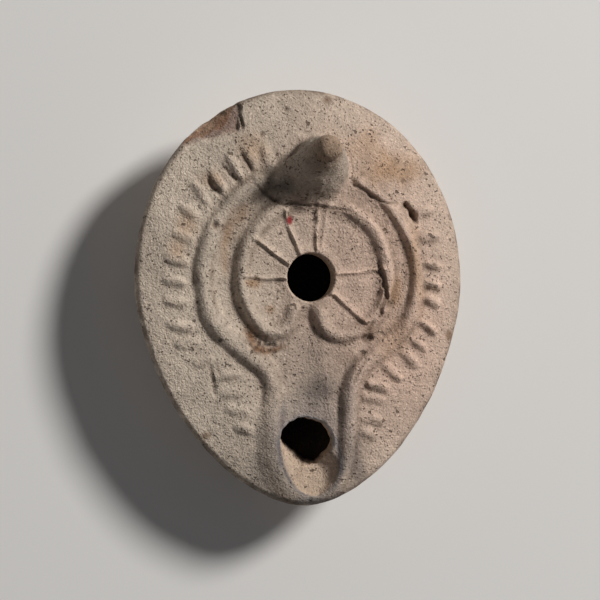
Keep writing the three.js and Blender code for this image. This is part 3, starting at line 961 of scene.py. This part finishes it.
def knob_skin(mesh, base_ring):
    """Knob handle: rings that shrink and lean back to a round tip. Returns its points' range and dirt."""
    cosine, sine, turn = around_ring(KNOB_POINTS)
    forward = np.where(sine < 0, KNOB_FRONT, KNOB_RADII[1])
    last = base_ring
    first = mesh.count
    grooves = []
    for step in range(1, KNOB_RINGS + KNOB_DOME_RINGS):
        rise = min(step / KNOB_RINGS, 1.0)
        dome = max(step - KNOB_RINGS, 0) / KNOB_DOME_RINGS * math.pi / 2
        middle = mix(KNOB_BASE, KNOB_TIP, rise)
        flank = bell(turn - KNOB_PINCH_WAY, KNOB_FLANK_SPREAD)
        shrink = (1 - rise) ** mix(KNOB_FLARE, KNOB_FLANK_FLARE, flank)
        taper = shrink * smooth(0.0, KNOB_PINCH_RISE, rise)
        pinch = 1 - KNOB_PINCH * taper * bell(turn - KNOB_PINCH_WAY, KNOB_PINCH_SPREAD)
        reach = pinch * math.cos(dome)
        x = middle[0] + mix(KNOB_TIP_RADIUS, KNOB_RADII[0], shrink) * reach * cosine
        y = middle[1] + mix(KNOB_TIP_RADIUS, forward, shrink) * reach * sine
        cone = middle[2] + KNOB_TIP_RADIUS * math.sin(dome)
        ground = surface(x, y)[0] if cone < KNOB_FREE_LEVEL else np.full_like(x, BELOW_KNOB)
        gap = np.clip(1 - np.abs(ground - cone) / KNOB_FILLET, 0, 1)
        deep, groove = damage(x, y)
        low_down = 1 - smooth(*KNOB_CRACK_END, cone)
        z = np.maximum(ground, cone) + KNOB_FILLET * gap ** 2 / 4 - deep * low_down
        grooves.append(groove * low_down)
        points = ring3(x, y, z)
        pull = points - THUMB_PLACE
        away = np.linalg.norm(pull, axis=1)
        push = np.maximum(THUMB_RADIUS - away, 0)
        inward = np.array([middle[0], middle[1], cone]) - points
        inward /= np.maximum(np.linalg.norm(inward, axis=1), TINY)[:, None]
        points += inward * (push * THUMB_SHARE)[:, None]
        ring = mesh.add_points(points)
        mesh.band(last, ring)
        last = ring
    mesh.fan(last, KNOB_TIP + np.array([0, 0, KNOB_TIP_RADIUS]))
    return first, mesh.count, np.concatenate([*grooves, [0.0]])


def front_weight(x, y):
    """How far a place lies towards the front left of the wick hole, where the inside is lower."""
    return smooth(*FRONT_RANGE, y + FRONT_SLANT * x) * (1 - smooth(*FRONT_SIDES, np.abs(x - WICK_X)))


def inner_skin(mesh, fill_loop, wick_loop):
    """Oil chamber, joined to the outer skin through the walls of the two holes."""
    angles = even_angles(CHAMBER_POINTS)
    cut = (SIDE_WALL, SIDE_WALL, NOZZLE_WALL)
    first = mesh.count
    last = None
    for step in range(CHAMBER_RINGS + 1):
        drop = math.cos(step / CHAMBER_RINGS * math.pi / 2)
        level = CHAMBER_HEIGHT - (CHAMBER_HEIGHT - FLOOR_WALL) * drop
        x, y = plan_ring(bowl_share(level, FLOOR_WALL, CHAMBER_HEIGHT), angles, cut)
        sunk = 1 - FRONT_DROP * front_weight(x, y)
        ring = mesh.add_points(ring3(x, y, FLOOR_WALL + (level - FLOOR_WALL) * sunk))
        if last is None:
            inner = ring
            for share in CHAMBER_FLOOR_SHARES:
                fx, fy = plan_ring(FOOT_HALF_WIDTH / HALF_WIDTH * share, angles, cut)
                smaller = mesh.add_points(ring3(fx, fy, FLOOR_WALL))
                mesh.band(inner, smaller)
                inner = smaller
            mesh.fan(inner, (0.0, WIDEST_Y, FLOOR_WALL))
        else:
            mesh.band(last, ring)
        last = ring
    wall_x, wall_y = plan_ring(1.0, angles, cut)
    all_points = np.concatenate(mesh.points)
    fill_plan = all_points[fill_loop][:, :2]
    wick_plan = all_points[wick_loop][:, :2]
    turn = np.arctan2(wick_plan[:, 1] - WICK_Y, wick_plan[:, 0] - WICK_X)
    facing = np.maximum(np.cos(turn - FUNNEL_WAY), 0) ** FUNNEL_POWER
    wick_plan = wick_plan + facing[:, None] * FUNNEL_SHIFT
    near = CEILING_STEP * CEILING_CLEAR

    def is_clear(x, y, margin):
        gap = near * margin
        clear = plan_share(x, y, cut) < 1 - gap / CEILING_REACH
        clear &= np.hypot(x - FILL_X, y - FILL_Y) > FILL_RADIUS + gap
        return clear & ~within(x, y, wick_plan, mix(1.0, CEILING_WICK_CLEAR, margin))

    outer = np.stack([wall_x, wall_y], 1)
    points, faces = sheet([outer, fill_plan, wick_plan], CEILING_STEP, is_clear)
    z = top_height(points[:, 0], points[:, 1]) - ROOF_WALL
    z -= FUNNEL_DROP * front_weight(points[:, 0], points[:, 1])
    rest = ring3(points[:, 0], points[:, 1], z)[len(outer):]
    numbers = np.concatenate([last, mesh.add_points(rest)])
    mesh.add_faces(numbers[faces])
    starts = np.cumsum([len(outer), len(fill_loop), len(wick_loop)])
    for loop, low, high in ((fill_loop, starts[0], starts[1]), (wick_loop, starts[1], starts[2])):
        ceiling = numbers[low:high]
        top = all_points[loop]
        bottom = rest[low - len(outer):high - len(outer)]
        last = loop
        for share in HOLE_WALL_SHARES:
            ring = mesh.add_points(mix(top, bottom, share))
            mesh.band(last, ring)
            last = ring
        mesh.band(last, ceiling)
    return first, mesh.count


def within(x, y, loop, grown):
    """Whether places lie inside a closed loop, grown about its middle by a factor."""
    middle = loop.mean(0)
    corners = middle + (loop - middle) * grown
    inside = np.zeros(len(x), dtype=bool)
    for one, other in zip(corners, np.roll(corners, -1, axis=0)):
        crosses = (one[1] > y) != (other[1] > y)
        rise = other[1] - one[1] if other[1] != one[1] else TINY
        inside ^= crosses & (x < one[0] + (other[0] - one[0]) * (y - one[1]) / rise)
    return inside


def vertex_normals(points, faces):
    corners = points[faces]
    normals = np.cross(corners[:, 1] - corners[:, 0], corners[:, 2] - corners[:, 0])
    total = np.zeros_like(points)
    for corner in range(3):
        np.add.at(total, faces[:, corner], normals)
    return total / np.maximum(np.linalg.norm(total, axis=1), TINY)[:, None]


def linear(red, green, blue):
    """A colour given in the usual 0 to 255 steps, as the light that it reflects by the standard curve."""
    value = np.array([red, green, blue]) / 255
    return np.where(value <= 0.04045, value / 12.92, ((value + 0.055) / 1.055) ** 2.4)


BUFF = linear(186, 171, 155)
PINKISH = linear(190, 161, 144)
PALE = linear(202, 187, 170)
OCHRE = linear(166, 133, 104)
SAND = linear(120, 89, 66)
SOOT = linear(92, 86, 84)
# Near-black for soot with painted deep shade, in the knob's thumb hollow and low inside the holes and
# chamber
SOOT_AND_DEEP_SHADE = linear(46, 40, 37)
BLUE_GREY = linear(118, 112, 112)
RIM_STAIN = linear(92, 91, 96)
BROWN = linear(112, 84, 62)
# Brown for the dirt in cracks and pores, and for painted shade beside the rays, at the mouldings' feet and
# on the rounded edge; it also darkens small hollows
DIRT_AND_SHADE_BROWN = linear(96, 78, 64)
KNOB_BROWN = linear(138, 114, 93)
KNOB_GREY = linear(158, 145, 132)
FRACTURE = linear(130, 103, 83)
FRACTURE_INNER = linear(150, 114, 90)
FLAKE = linear(146, 122, 111)
WICK_EDGE_HIGHLIGHT = linear(176, 174, 176)
RECESS = linear(188, 166, 146)
RED = linear(138, 42, 44)
PORE_COLOUR = DIRT_AND_SHADE_BROWN * 0.8

# How light the clay is across the lamp, at places in x
SIDE_PLACES = (-36.0, -30.0, -20.0, 0.0, 18.0, 30.0)
SIDE_TONES = (1.22, 1.38, 1.16, 1.1, 1.26, 1.24)

# Painted shade beside the rays, on the side away from the light, and dirt with painted shade at the
# mouldings' feet: strength, distance from the middle line, and width
RAY_PAINTED_SHADE = 0.34
RAY_PAINTED_SHADE_BESIDE = 0.9
RAY_PAINTED_SHADE_WIDTH = 0.75
RAY_PAINTED_SHADE_LIMIT = 1.5
MOULDING_DIRT_AND_SHADE = 0.26
MOULDING_DIRT_AND_SHADE_BESIDE = 1.9
MOULDING_DIRT_AND_SHADE_WIDTH = 0.8
MOULDING_DIRT_AND_SHADE_LIMIT = 2.2
# Painted highlights on the ribs' crests on the side towards the light, and the dark stain round the hollow
# before the wick hole, likewise
RIB_HIGHLIGHT = 0.2
RIB_HIGHLIGHT_BESIDE = 0.75
RIB_HIGHLIGHT_WIDTH = 0.5
RIM_STAIN_SHARE = 0.65
RIM_STAIN_BESIDE = 0.5
RIM_STAIN_WIDTH = 0.75
RIM_STAIN_BACK = (-29.0, -33.0)
RIM_STAIN_LIP = (LIP_Y - 0.5, LIP_Y + 0.5)
# Painted highlight along the wick hole's edge
WICK_HIGHLIGHT_SHARE = 0.7
WICK_HIGHLIGHT_WIDTH = 0.45
WICK_HIGHLIGHT_BACK = (-34.0, -32.0)
# Levels between which the knob's colour, its brown tip, the upper mould's dirt and painted shade, and the
# soot and painted shade inside set in
KNOB_LEVELS = (21.0, 24.0)
TIP_LEVELS = (28.0, 35.0)
UPPER_LEVELS = (SEAM_HEIGHT - 1.0, SEAM_HEIGHT + 1.0)
INNER_SOOT_AND_SHADE_LEVELS = (14.4, 10.5)
KNOB_SHARE = 0.8
# Dirt and painted shade in the knob's thumb hollow: place in x and y, half sizes, and share
THUMB_DIRT_AND_SHADE_SPOT = (-6.0, 23.9, 2.8, 1.3)
THUMB_DIRT_AND_SHADE_SHARE = 0.6
# Shares of the flake's, the cracks' and the break's colours, and the range that blends the break's two
FLAKE_SHARE = 0.9
CRACK_SHARE = 0.75
FRACTURE_SHARE = 0.9
FRACTURE_RANGE = (-0.4, 0.5)
# Painted shade on the rounded edge: distance in from the outline, levels, mean share and most
EDGE_SHADE_RANGE = (1.7, 0.1)
EDGE_SHADE_LEVELS = (SEAM_HEIGHT - 2.0, SEAM_HEIGHT)
EDGE_SHADE_SHARE = 0.5
EDGE_SHADE_LIMIT = 0.85
# Small hollows are darker and small crests paler
SUNK_RANGE = (0.02, 0.16)
CREST_RANGE = (0.03, 0.2)
HOLLOW_DARKENING = 0.3
CREST_PALE = 0.14

# Patches of colour on the clay: x, y, half width, half length, turn in degrees, colour, strength
PATCHES = (
    (17.0, 2.0, 24.0, 46.0, 0, PINKISH, 0.75),
    (24.0, -12.0, 10.0, 16.0, -20, PINKISH, 0.5),
    (-21.0, -26.0, 9.0, 9.0, 0, PALE, 0.6),
    (-12.6, -8.4, 1.5, 2.2, 25, SAND, 1.0),
    (-9.9, -10.8, 3.0, 1.6, -20, SAND, 1.0),
    (-6.4, -10.9, 2.4, 1.0, 10, SAND, 0.9),
    (-12.0, 3.0, 1.8, 0.8, 0, OCHRE, 0.9),
    (-8.3, -2.8, 1.1, 1.1, 0, OCHRE, 0.7),
    (-17.8, 13.0, 1.2, 4.4, -14, OCHRE, 0.6),
    (-14.0, 18.0, 2.6, 1.2, 40, OCHRE, 0.5),
    (-18.0, 7.4, 1.0, 2.6, 0, OCHRE, 0.5),
    (-17.4, 37.6, 3.0, 2.4, 40, PINKISH, 0.6),
    (-26.8, 15.6, 2.0, 3.0, 20, OCHRE, 0.5),
    (-28.4, 10.0, 2.0, 2.6, 0, OCHRE, 0.5),
    (-20.4, 25.6, 3.0, 2.4, 0, OCHRE, 0.5),
    (-12.0, 31.8, 3.0, 3.4, 0, OCHRE, 0.5),
    (17.6, 29.6, 4.4, 3.6, 20, OCHRE, 0.8),
    (22.6, 27.4, 3.4, 3.0, 0, OCHRE, 0.7),
    (13.0, 34.0, 3.6, 2.6, 30, OCHRE, 0.5),
    (20.0, 1.4, 1.6, 3.2, 0, OCHRE, 0.9),
    (24.8, 7.0, 1.6, 10.0, 6, OCHRE, 0.6),
    (20.0, -9.5, 5.5, 3.0, 40, OCHRE, 0.45),
    (-16.5, 15.5, 3.0, 2.6, 30, BROWN, 0.35),
    (-15.0, 18.4, 2.6, 1.8, 30, BROWN, 0.3),
    (1.8, -20.0, 6.0, 7.0, 0, SOOT, 0.42),
    (1.5, -21.0, 3.0, 3.0, 0, SOOT, 0.5),
    (0.0, -10.5, 6.0, 4.0, 0, SOOT, 0.18),
    (0.6, -29.0, 9.0, 6.0, 0, BLUE_GREY, 0.55),
    (-8.0, -34.0, 4.0, 9.0, -12, SOOT, 0.3),
    (-5.6, -30.5, 0.9, 8.0, -4, BLUE_GREY, 0.5),
    (11.0, -36.0, 3.0, 7.0, 14, SOOT, 0.6),
    (3.0, -44.9, 9.0, 1.6, 0, BLUE_GREY, 0.85),
    (-8.0, -41.0, 6.0, 4.0, -35, SOOT, 0.4),
    (9.0, -22.0, 2.2, 7.0, 0, BLUE_GREY, 0.3),
    (5.0, 43.6, 1.2, 1.0, 0, BROWN, 0.7),
    (-22.0, -30.5, 1.4, 1.0, 0, BROWN, 0.7),
    (33.0, -8.0, 0.9, 1.2, 0, BROWN, 0.7),
    (8.5, -13.6, 2.0, 1.6, 0, BROWN, 0.25),
    (14.4, -6.6, 2.6, 2.0, -40, BROWN, 0.45),
    (-3.6, 16.9, 0.75, 1.0, 0, RED, 1.0),
)
# Patches under one half width have firmer edges than the rest, and under another they stray less
SMALL_PATCH = 1.0
SMALL_PATCH_POWER = 3.0
PATCH_POWER = 1.3
CALM_PATCH = 4.0


def ray_painted_shade(x, y):
    """Painted shade along the side of each ray that faces away from the light."""
    painted_shade = np.zeros_like(x)
    for ray in RAYS:
        turn = math.radians(ray[2])
        shade = -np.sign(math.cos(turn) * KEY_WAY[1] - math.sin(turn) * KEY_WAY[0])
        _, across, taper = ray_offsets(x, y, ray)
        painted_shade = np.maximum(painted_shade, ray[-1] * taper * bell(across * shade - RAY_PAINTED_SHADE_BESIDE, RAY_PAINTED_SHADE_WIDTH))
    return np.clip(painted_shade * (1 + wavy(flat_points(x, y), RAY_PAINTED_SHADE_UNEVEN)), 0, RAY_PAINTED_SHADE_LIMIT)


def stain(tone, colour, share):
    return mix(tone, colour, share[:, None])


def paint(points, parts, masks):
    """Colour of the bare clay, its stains and its dirt, with painted shade and highlights, at every point of
    the skin.
    """
    x, y, z = points.T
    tone = np.tile(BUFF, (len(points), 1))
    wander = rugged(points, PATCH_X)
    sway = rugged(points, PATCH_Y)
    for px, py, wide, long, degrees, colour, strength in PATCHES:
        angle = math.radians(degrees)
        calm = min(1.0, wide / CALM_PATCH)
        dx, dy = x - px + wander * calm, y - py + sway * calm
        u = (dx * math.cos(angle) + dy * math.sin(angle)) / wide
        v = (-dx * math.sin(angle) + dy * math.cos(angle)) / long
        power = SMALL_PATCH_POWER if wide < SMALL_PATCH else PATCH_POWER
        tone = stain(tone, colour, strength * np.exp(-(u * u + v * v) ** power))
    groove, recess = np.zeros((2, len(points)))
    groove[:len(masks)], recess[:len(masks)] = masks.T
    knob_low, knob_high, knob_groove = parts["knob"]
    groove[knob_low:knob_high] = knob_groove
    in_knob = np.zeros(len(points))
    in_knob[knob_low:knob_high] = 1
    on_knob = in_knob * smooth(*KNOB_LEVELS, z)
    tone = stain(tone, KNOB_GREY, KNOB_SHARE * on_knob)
    tone = stain(tone, KNOB_BROWN, KNOB_SHARE * on_knob * smooth(*TIP_LEVELS, z + rugged(points, TIP_EDGE)))
    # Dirt and painted shade darken the knob's thumb hollow
    tone = stain(tone, SOOT_AND_DEEP_SHADE, THUMB_DIRT_AND_SHADE_SHARE * in_knob * spot(x, y, THUMB_DIRT_AND_SHADE_SPOT))

    upper = smooth(*UPPER_LEVELS, z) * (1 - parts["inside"])
    tone = stain(tone, FLAKE, FLAKE_SHARE * upper * flake(x, y))
    # Painted shade on the side of each ray that faces away from the light
    tone = stain(tone, DIRT_AND_SHADE_BROWN, RAY_PAINTED_SHADE * upper * ray_painted_shade(x, y))
    # Dirt and painted shade at the feet of the moulding and of the rosette's rim
    grain = np.clip(1 + wavy(points, *MOULDING_UNEVEN), 0, MOULDING_DIRT_AND_SHADE_LIMIT)
    for path in (RIDGE_PATH, ROSETTE_PATH):
        foot = bell(nearest(x, y, path)[0] - MOULDING_DIRT_AND_SHADE_BESIDE, MOULDING_DIRT_AND_SHADE_WIDTH)
        tone = stain(tone, DIRT_AND_SHADE_BROWN, MOULDING_DIRT_AND_SHADE * upper * foot * grain)
    middle, half, _ = recess_shape(y)
    rim = bell(np.abs(x - middle) - half - RIM_STAIN_BESIDE, RIM_STAIN_WIDTH) * upper
    rim *= smooth(*RIM_STAIN_BACK, y) * smooth(*RIM_STAIN_LIP, y) * (1 + wavy(points, RIM_UNEVEN))
    tone = stain(tone, RIM_STAIN, RIM_STAIN_SHARE * rim)
    tone = stain(tone, RECESS, recess)
    tone = stain(tone, DIRT_AND_SHADE_BROWN, CRACK_SHARE * groove)
    inner = smooth(*FRACTURE_RANGE, rugged(points, FRACTURE_MOTTLE))
    tone = stain(tone, stain(FRACTURE, FRACTURE_INNER, inner), FRACTURE_SHARE * parts["broken"])
    tone = stain(tone, RECESS, parts["inside"])
    # Painted highlight along the back of the wick hole's edge
    edge = bell(wick_distance(x, y), WICK_HIGHLIGHT_WIDTH) * (z > SEAM_HEIGHT + RIM_RISE)
    tone = stain(tone, WICK_EDGE_HIGHLIGHT, WICK_HIGHLIGHT_SHARE * edge * smooth(*WICK_HIGHLIGHT_BACK, y))

    mottle = 1 + rugged(points, *MOTTLE) + wavy(points, SAND_MOTTLE) * spot(x, y, SAND_SPOT)
    tone = tone * (mottle * np.interp(x, SIDE_PLACES, SIDE_TONES))[:, None]
    # Painted shade on the rounded edge and just below it
    side = smooth(*EDGE_SHADE_RANGE, inset(x, y)) * smooth(*EDGE_SHADE_LEVELS, z)
    edge_shade = (EDGE_SHADE_SHARE + rugged(points, SIDE_ROUGH)).clip(0, EDGE_SHADE_LIMIT)
    tone = stain(tone, DIRT_AND_SHADE_BROWN, side * edge_shade)
    # Soot and painted shade, darker with depth inside the holes and the chamber
    tone = stain(tone, SOOT_AND_DEEP_SHADE, smooth(*INNER_SOOT_AND_SHADE_LEVELS, z) * parts["inside"])
    tone = stain(tone, DIRT_AND_SHADE_BROWN, HOLLOW_DARKENING * smooth(*SUNK_RANGE, parts["sunk"]))
    tone = tone * (1 + CREST_PALE * smooth(*CREST_RANGE, -parts["sunk"]))[:, None]
    # Painted highlight on each rib's crest, on the side towards the light
    flecked = 1 + wavy(points, RIB_HIGHLIGHT_UNEVEN)
    for strength, _, beside, ends in rib_offsets(x, y):
        rib_highlight = strength * bell(beside + RIB_HIGHLIGHT_BESIDE, RIB_HIGHLIGHT_WIDTH) * ends * upper
        tone = tone * (1 + RIB_HIGHLIGHT * rib_highlight * flecked)[:, None]
    return np.clip(tone, 0, 1)


def break_rim(points):
    """Moves whatever stands proud of the two fracture faces back onto the nearer of them."""
    corner = np.array([*CHIP_CORNER, CHIP_HEIGHT])
    uneven = rugged(points, CHIP_ROUGH) + wavy(points, CHIP_GRAIN)
    depths = []
    faces = []
    for edge in (CHIP_CORNER - CHIP_START, CHIP_END - CHIP_CORNER):
        out = np.array([-edge[1], edge[0]]) / np.hypot(*edge)
        face = np.array([out[0], out[1], CHIP_LEAN]) / math.hypot(1, CHIP_LEAN)
        faces.append(face)
        depths.append((points - corner) @ face + uneven)
    depth = np.maximum(np.minimum(*depths), 0)
    depth = np.where((points[:, 2] > SEAM_HEIGHT - CHIP_REACH) & (points[:, 0] < 0), depth, 0)
    way = np.where((depths[0] < depths[1])[:, None], faces[0], faces[1])
    return points - way * depth[:, None], smooth(*CHIP_FADE, depth)


def neighbour_mean(faces, values):
    """Mean of the values at each point's neighbours."""
    total = np.zeros_like(values)
    degree = np.zeros(len(values))
    for one, other in ((0, 1), (1, 2), (2, 0)):
        np.add.at(total, faces[:, one], values[faces[:, other]])
        np.add.at(total, faces[:, other], values[faces[:, one]])
        np.add.at(degree, faces[:, one], 1)
        np.add.at(degree, faces[:, other], 1)
    return (total.T / degree).T


def lamp():
    """The whole lamp as one closed skin, with its colours at its points."""
    mesh = Mesh()
    (knob_loop, fill_loop, wick_loop), masks = outer_skin(mesh)
    knob_range = knob_skin(mesh, knob_loop)
    inner_range = inner_skin(mesh, fill_loop, wick_loop)
    points = np.concatenate(mesh.points)
    faces = np.array(mesh.faces)
    built = bmesh.new()
    data = bpy.data.meshes.new("lamp_skin")
    data.from_pydata(points.tolist(), [], faces.tolist())
    built.from_mesh(data)
    bmesh.ops.recalc_face_normals(built, faces=built.faces)
    built.to_mesh(data)
    built.free()
    corners = np.empty(len(faces) * 3, dtype=np.int64)
    data.loops.foreach_get("vertex_index", corners)
    faces = corners.reshape(-1, 3)

    normals = vertex_normals(points, faces)
    outer = np.ones(len(points))
    outer[inner_range[0]:inner_range[1]] = 0
    uneven = rugged(points, *SKIN_ROUGH)
    knob = slice(*knob_range[:2])
    uneven[knob] += rugged(points[knob], *KNOB_ROUGH)
    standing = smooth(*STANDING, points[:, 2])
    points = points + normals * ((uneven - SKIN_INSET) * outer * standing)[:, None]
    moved, broken = break_rim(points)
    points = mix(points, moved, outer[:, None])
    shift = np.array([PLAN_X, 0, 0])
    points = np.clip(points, np.array(cad_low) / MM + shift, np.array(cad_high) / MM + shift)

    sunk = ((neighbour_mean(faces, points) - points) * vertex_normals(points, faces)).sum(1)
    for _ in range(SUNK_PASSES):
        sunk = mix(sunk, neighbour_mean(faces, sunk), SUNK_BLEND)
    parts = {"knob": knob_range, "inside": 1 - outer, "broken": broken * outer, "sunk": sunk * SUNK_GAIN}
    tone = paint(points, parts, masks)

    data.vertices.foreach_set("co", ((points - shift) * MM).ravel())
    colours = data.color_attributes.new("tone", "FLOAT_COLOR", "POINT")
    colours.data.foreach_set("color", np.concatenate([tone, np.ones((len(tone), 1))], 1).ravel())
    data.polygons.foreach_set("use_smooth", np.ones(len(faces), dtype=bool))
    data.update()
    piece = bpy.data.objects.new("lamp_clay", data)
    bpy.context.collection.objects.link(piece)
    return piece


# Clouds of noise in the clay: scale per metre, detail and roughness
BLOTCH = (210.0, 4.0, 0.6)
LUMPY = (480.0, 4.0, 0.6)
LARGE_HOLES = (620.0, 2.0, 0.5)
SANDY = (1250.0, 4.0, 0.65)
SPECKS = (1500.0, 1.5, 0.5)
PALE_GRAINS = (1700.0, 1.0, 0.5)
FINE = (2200.0, 2.5, 0.6)
PORE_SCALE = 1150.0
PORE_CHANCE = 0.3
# Ranges that turn them into pores, grains and shades: from low, from high, to low, to high
SPECK_RANGE = (0.64, 0.7, 0.0, 1.0)
LARGE_HOLE_RANGE = (0.69, 0.72, 0.0, 1.0)
PITTING_RANGE = (0.42, 0.58, 0.25, 1.0)
PORE_RANGE = (0.19, 0.28, 1.0, 0.0)
SANDY_RANGE = (0.3, 0.7, 0.92, 1.08)
FINE_RANGE = (0.3, 0.7, 0.86, 1.14)
GRAIN_RANGE = (0.64, 0.7, 1.0, 1.3)
ROUGHNESS_RANGE = (0.3, 0.7, 0.82, 0.96)
PORE_DARKNESS = 0.78
# Shares of the clouds and holes in the bump, and its depth in metres
FINE_BUMP = 0.6
SANDY_BUMP = 0.4
LUMPY_BUMP = 0.4
HOLE_BUMP = 0.6
BUMP_DISTANCE = 0.00055
CLAY_SPECULAR = 0.3

FLOOR_HALF = 1.6
FLOOR_COLOUR = (0.8, 0.785, 0.765, 1.0)
FLOOR_ROUGHNESS = 0.9
FLOOR_SPECULAR = 0.2

# Camera: lens and sensor in millimetres, its distance in metres, and what it looks at and from which way
LENS = 175.5
SENSOR_WIDTH = 36.0
CLIP_START = 0.05
CAMERA_DISTANCE = 0.65
CAMERA_TARGET = (0.2 - PLAN_X, -0.4, 13.0)
CAMERA_WAY = (-0.2113, -0.035, 0.9768)

# Lights: the way to each, distance and size in metres, power and colour
KEY_LIGHT = ((*KEY_WAY, 0.643), 1.5, 0.36, 21.6, (1.0, 0.985, 0.96))
FILL_LIGHT = ((-0.7, -0.2, 0.7), 1.2, 0.9, 0.5, (0.97, 0.98, 1.0))
LIGHT_TARGET = (0, 0, 0.01)
LIGHT_UP = (0, 0.2, 1)
WORLD_COLOUR = (0.95, 0.96, 1.0, 1.0)
WORLD_STRENGTH = 0.08


def node(tree, kind, **settings):
    made = tree.nodes.new(kind)
    for name, value in settings.items():
        setattr(made, name, value)
    return made


def clay_material():
    """Fired clay: the colour at its points with fine grains, pores and specks in colour and bump."""
    material = bpy.data.materials.new("fired_clay")
    material.use_nodes = True
    tree = material.node_tree
    shader = tree.nodes["Principled BSDF"]
    shader.inputs["Specular IOR Level"].default_value = CLAY_SPECULAR
    place = node(tree, "ShaderNodeTexCoord").outputs["Object"]

    def cloud(scale, detail, roughness):
        made = node(tree, "ShaderNodeTexNoise")
        for name, value in (("Scale", scale), ("Detail", detail), ("Roughness", roughness)):
            made.inputs[name].default_value = value
        tree.links.new(place, made.inputs["Vector"])
        return made.outputs["Fac"]

    def ranged(value, limits):
        made = node(tree, "ShaderNodeMapRange")
        for name, limit in zip(("From Min", "From Max", "To Min", "To Max"), limits):
            made.inputs[name].default_value = limit
        tree.links.new(value, made.inputs["Value"])
        return made.outputs["Result"]

    def maths(operation, one, other):
        made = node(tree, "ShaderNodeMath", operation=operation)
        for socket, value in zip(made.inputs, (one, other)):
            if isinstance(value, float):
                socket.default_value = value
            else:
                tree.links.new(value, socket)
        return made.outputs["Value"]

    blotch = cloud(*BLOTCH)
    sandy = cloud(*SANDY)
    fine = cloud(*FINE)
    specks = ranged(cloud(*SPECKS), SPECK_RANGE)
    holes = ranged(cloud(*LARGE_HOLES), LARGE_HOLE_RANGE)
    pitting = ranged(blotch, PITTING_RANGE)
    holes = maths("MAXIMUM", maths("MULTIPLY", specks, pitting), holes)
    cells = node(tree, "ShaderNodeTexVoronoi")
    cells.inputs["Scale"].default_value = PORE_SCALE
    tree.links.new(place, cells.inputs["Vector"])
    chance = node(tree, "ShaderNodeSeparateColor")
    tree.links.new(cells.outputs["Color"], chance.inputs["Color"])
    pore = maths("ADD", cells.outputs["Distance"], maths("MULTIPLY", chance.outputs["Red"], PORE_CHANCE))
    holes = maths("MAXIMUM", holes, maths("MULTIPLY", ranged(pore, PORE_RANGE), pitting))
    shade = maths("MULTIPLY", ranged(sandy, SANDY_RANGE), ranged(fine, FINE_RANGE))
    shade = maths("MULTIPLY", shade, ranged(cloud(*PALE_GRAINS), GRAIN_RANGE))

    tone = node(tree, "ShaderNodeAttribute", attribute_name="tone").outputs["Color"]
    scaled = node(tree, "ShaderNodeVectorMath", operation="SCALE")
    tree.links.new(tone, scaled.inputs[0])
    tree.links.new(shade, scaled.inputs["Scale"])
    pitted = node(tree, "ShaderNodeMix", data_type="RGBA")
    pitted.inputs["B"].default_value = (*PORE_COLOUR, 1.0)
    tree.links.new(maths("MULTIPLY", holes, PORE_DARKNESS), pitted.inputs["Factor"])
    tree.links.new(scaled.outputs["Vector"], pitted.inputs["A"])
    tree.links.new(pitted.outputs["Result"], shader.inputs["Base Color"])
    tree.links.new(ranged(blotch, ROUGHNESS_RANGE), shader.inputs["Roughness"])

    height = maths("ADD", maths("MULTIPLY", fine, FINE_BUMP), maths("MULTIPLY", sandy, SANDY_BUMP))
    height = maths("ADD", height, maths("MULTIPLY", cloud(*LUMPY), LUMPY_BUMP))
    height = maths("SUBTRACT", height, maths("MULTIPLY", holes, HOLE_BUMP))
    bump = node(tree, "ShaderNodeBump")
    bump.inputs["Strength"].default_value = 1.0
    bump.inputs["Distance"].default_value = BUMP_DISTANCE
    tree.links.new(height, bump.inputs["Height"])
    tree.links.new(bump.outputs["Normal"], shader.inputs["Normal"])
    return material


def floor():
    half = FLOOR_HALF
    data = bpy.data.meshes.new("floor")
    corners = [(-half, -half, 0), (half, -half, 0), (half, half, 0), (-half, half, 0)]
    data.from_pydata(corners, [], [(0, 1, 2, 3)])
    material = bpy.data.materials.new("pale_floor")
    material.use_nodes = True
    shader = material.node_tree.nodes["Principled BSDF"]
    shader.inputs["Base Color"].default_value = FLOOR_COLOUR
    shader.inputs["Roughness"].default_value = FLOOR_ROUGHNESS
    shader.inputs["Specular IOR Level"].default_value = FLOOR_SPECULAR
    data.materials.append(material)
    made = bpy.data.objects.new("floor", data)
    bpy.context.collection.objects.link(made)
    return made


def aim(thing, place, target, up):
    """Puts a camera or light at a place, looking at a target."""
    back = (Vector(place) - Vector(target)).normalized()
    right = Vector(up).cross(back).normalized()
    turned = Matrix((right, back.cross(right), back)).transposed()
    thing.matrix_world = Matrix.Translation(place) @ turned.to_4x4()


def add_camera():
    """The view from above, tilted so that the lamp's right flank turns away."""
    data = bpy.data.cameras.new("camera")
    data.lens = LENS
    data.sensor_width = SENSOR_WIDTH
    data.clip_start = CLIP_START
    camera = bpy.data.objects.new("camera", data)
    bpy.context.collection.objects.link(camera)
    target = Vector(CAMERA_TARGET) * MM
    back = Vector(CAMERA_WAY).normalized()
    aim(camera, target + back * CAMERA_DISTANCE, target, (0, 1, 0))
    bpy.context.scene.camera = camera


def add_light(name, way, distance, size, power, colour):
    data = bpy.data.lights.new(name, "AREA")
    data.shape = "DISK"
    data.size = size
    data.energy = power
    data.color = colour
    light = bpy.data.objects.new(name, data)
    bpy.context.collection.objects.link(light)
    aim(light, Vector(way).normalized() * distance, LIGHT_TARGET, LIGHT_UP)


def add_lights():
    """A soft key from the upper right, a faint fill from the left and a dim even world."""
    add_light("key", *KEY_LIGHT)
    add_light("fill", *FILL_LIGHT)
    world = bpy.data.worlds.new("studio")
    world.use_nodes = True
    background = world.node_tree.nodes["Background"]
    background.inputs["Color"].default_value = WORLD_COLOUR
    background.inputs["Strength"].default_value = WORLD_STRENGTH
    bpy.context.scene.world = world


add_camera()
add_lights()
ground = floor()
clay_lamp = lamp()
clay_lamp.data.materials.append(clay_material())
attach(clay_lamp, "root")
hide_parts("oil_lamp")
bpy.context.scene.view_settings.view_transform = "Standard"
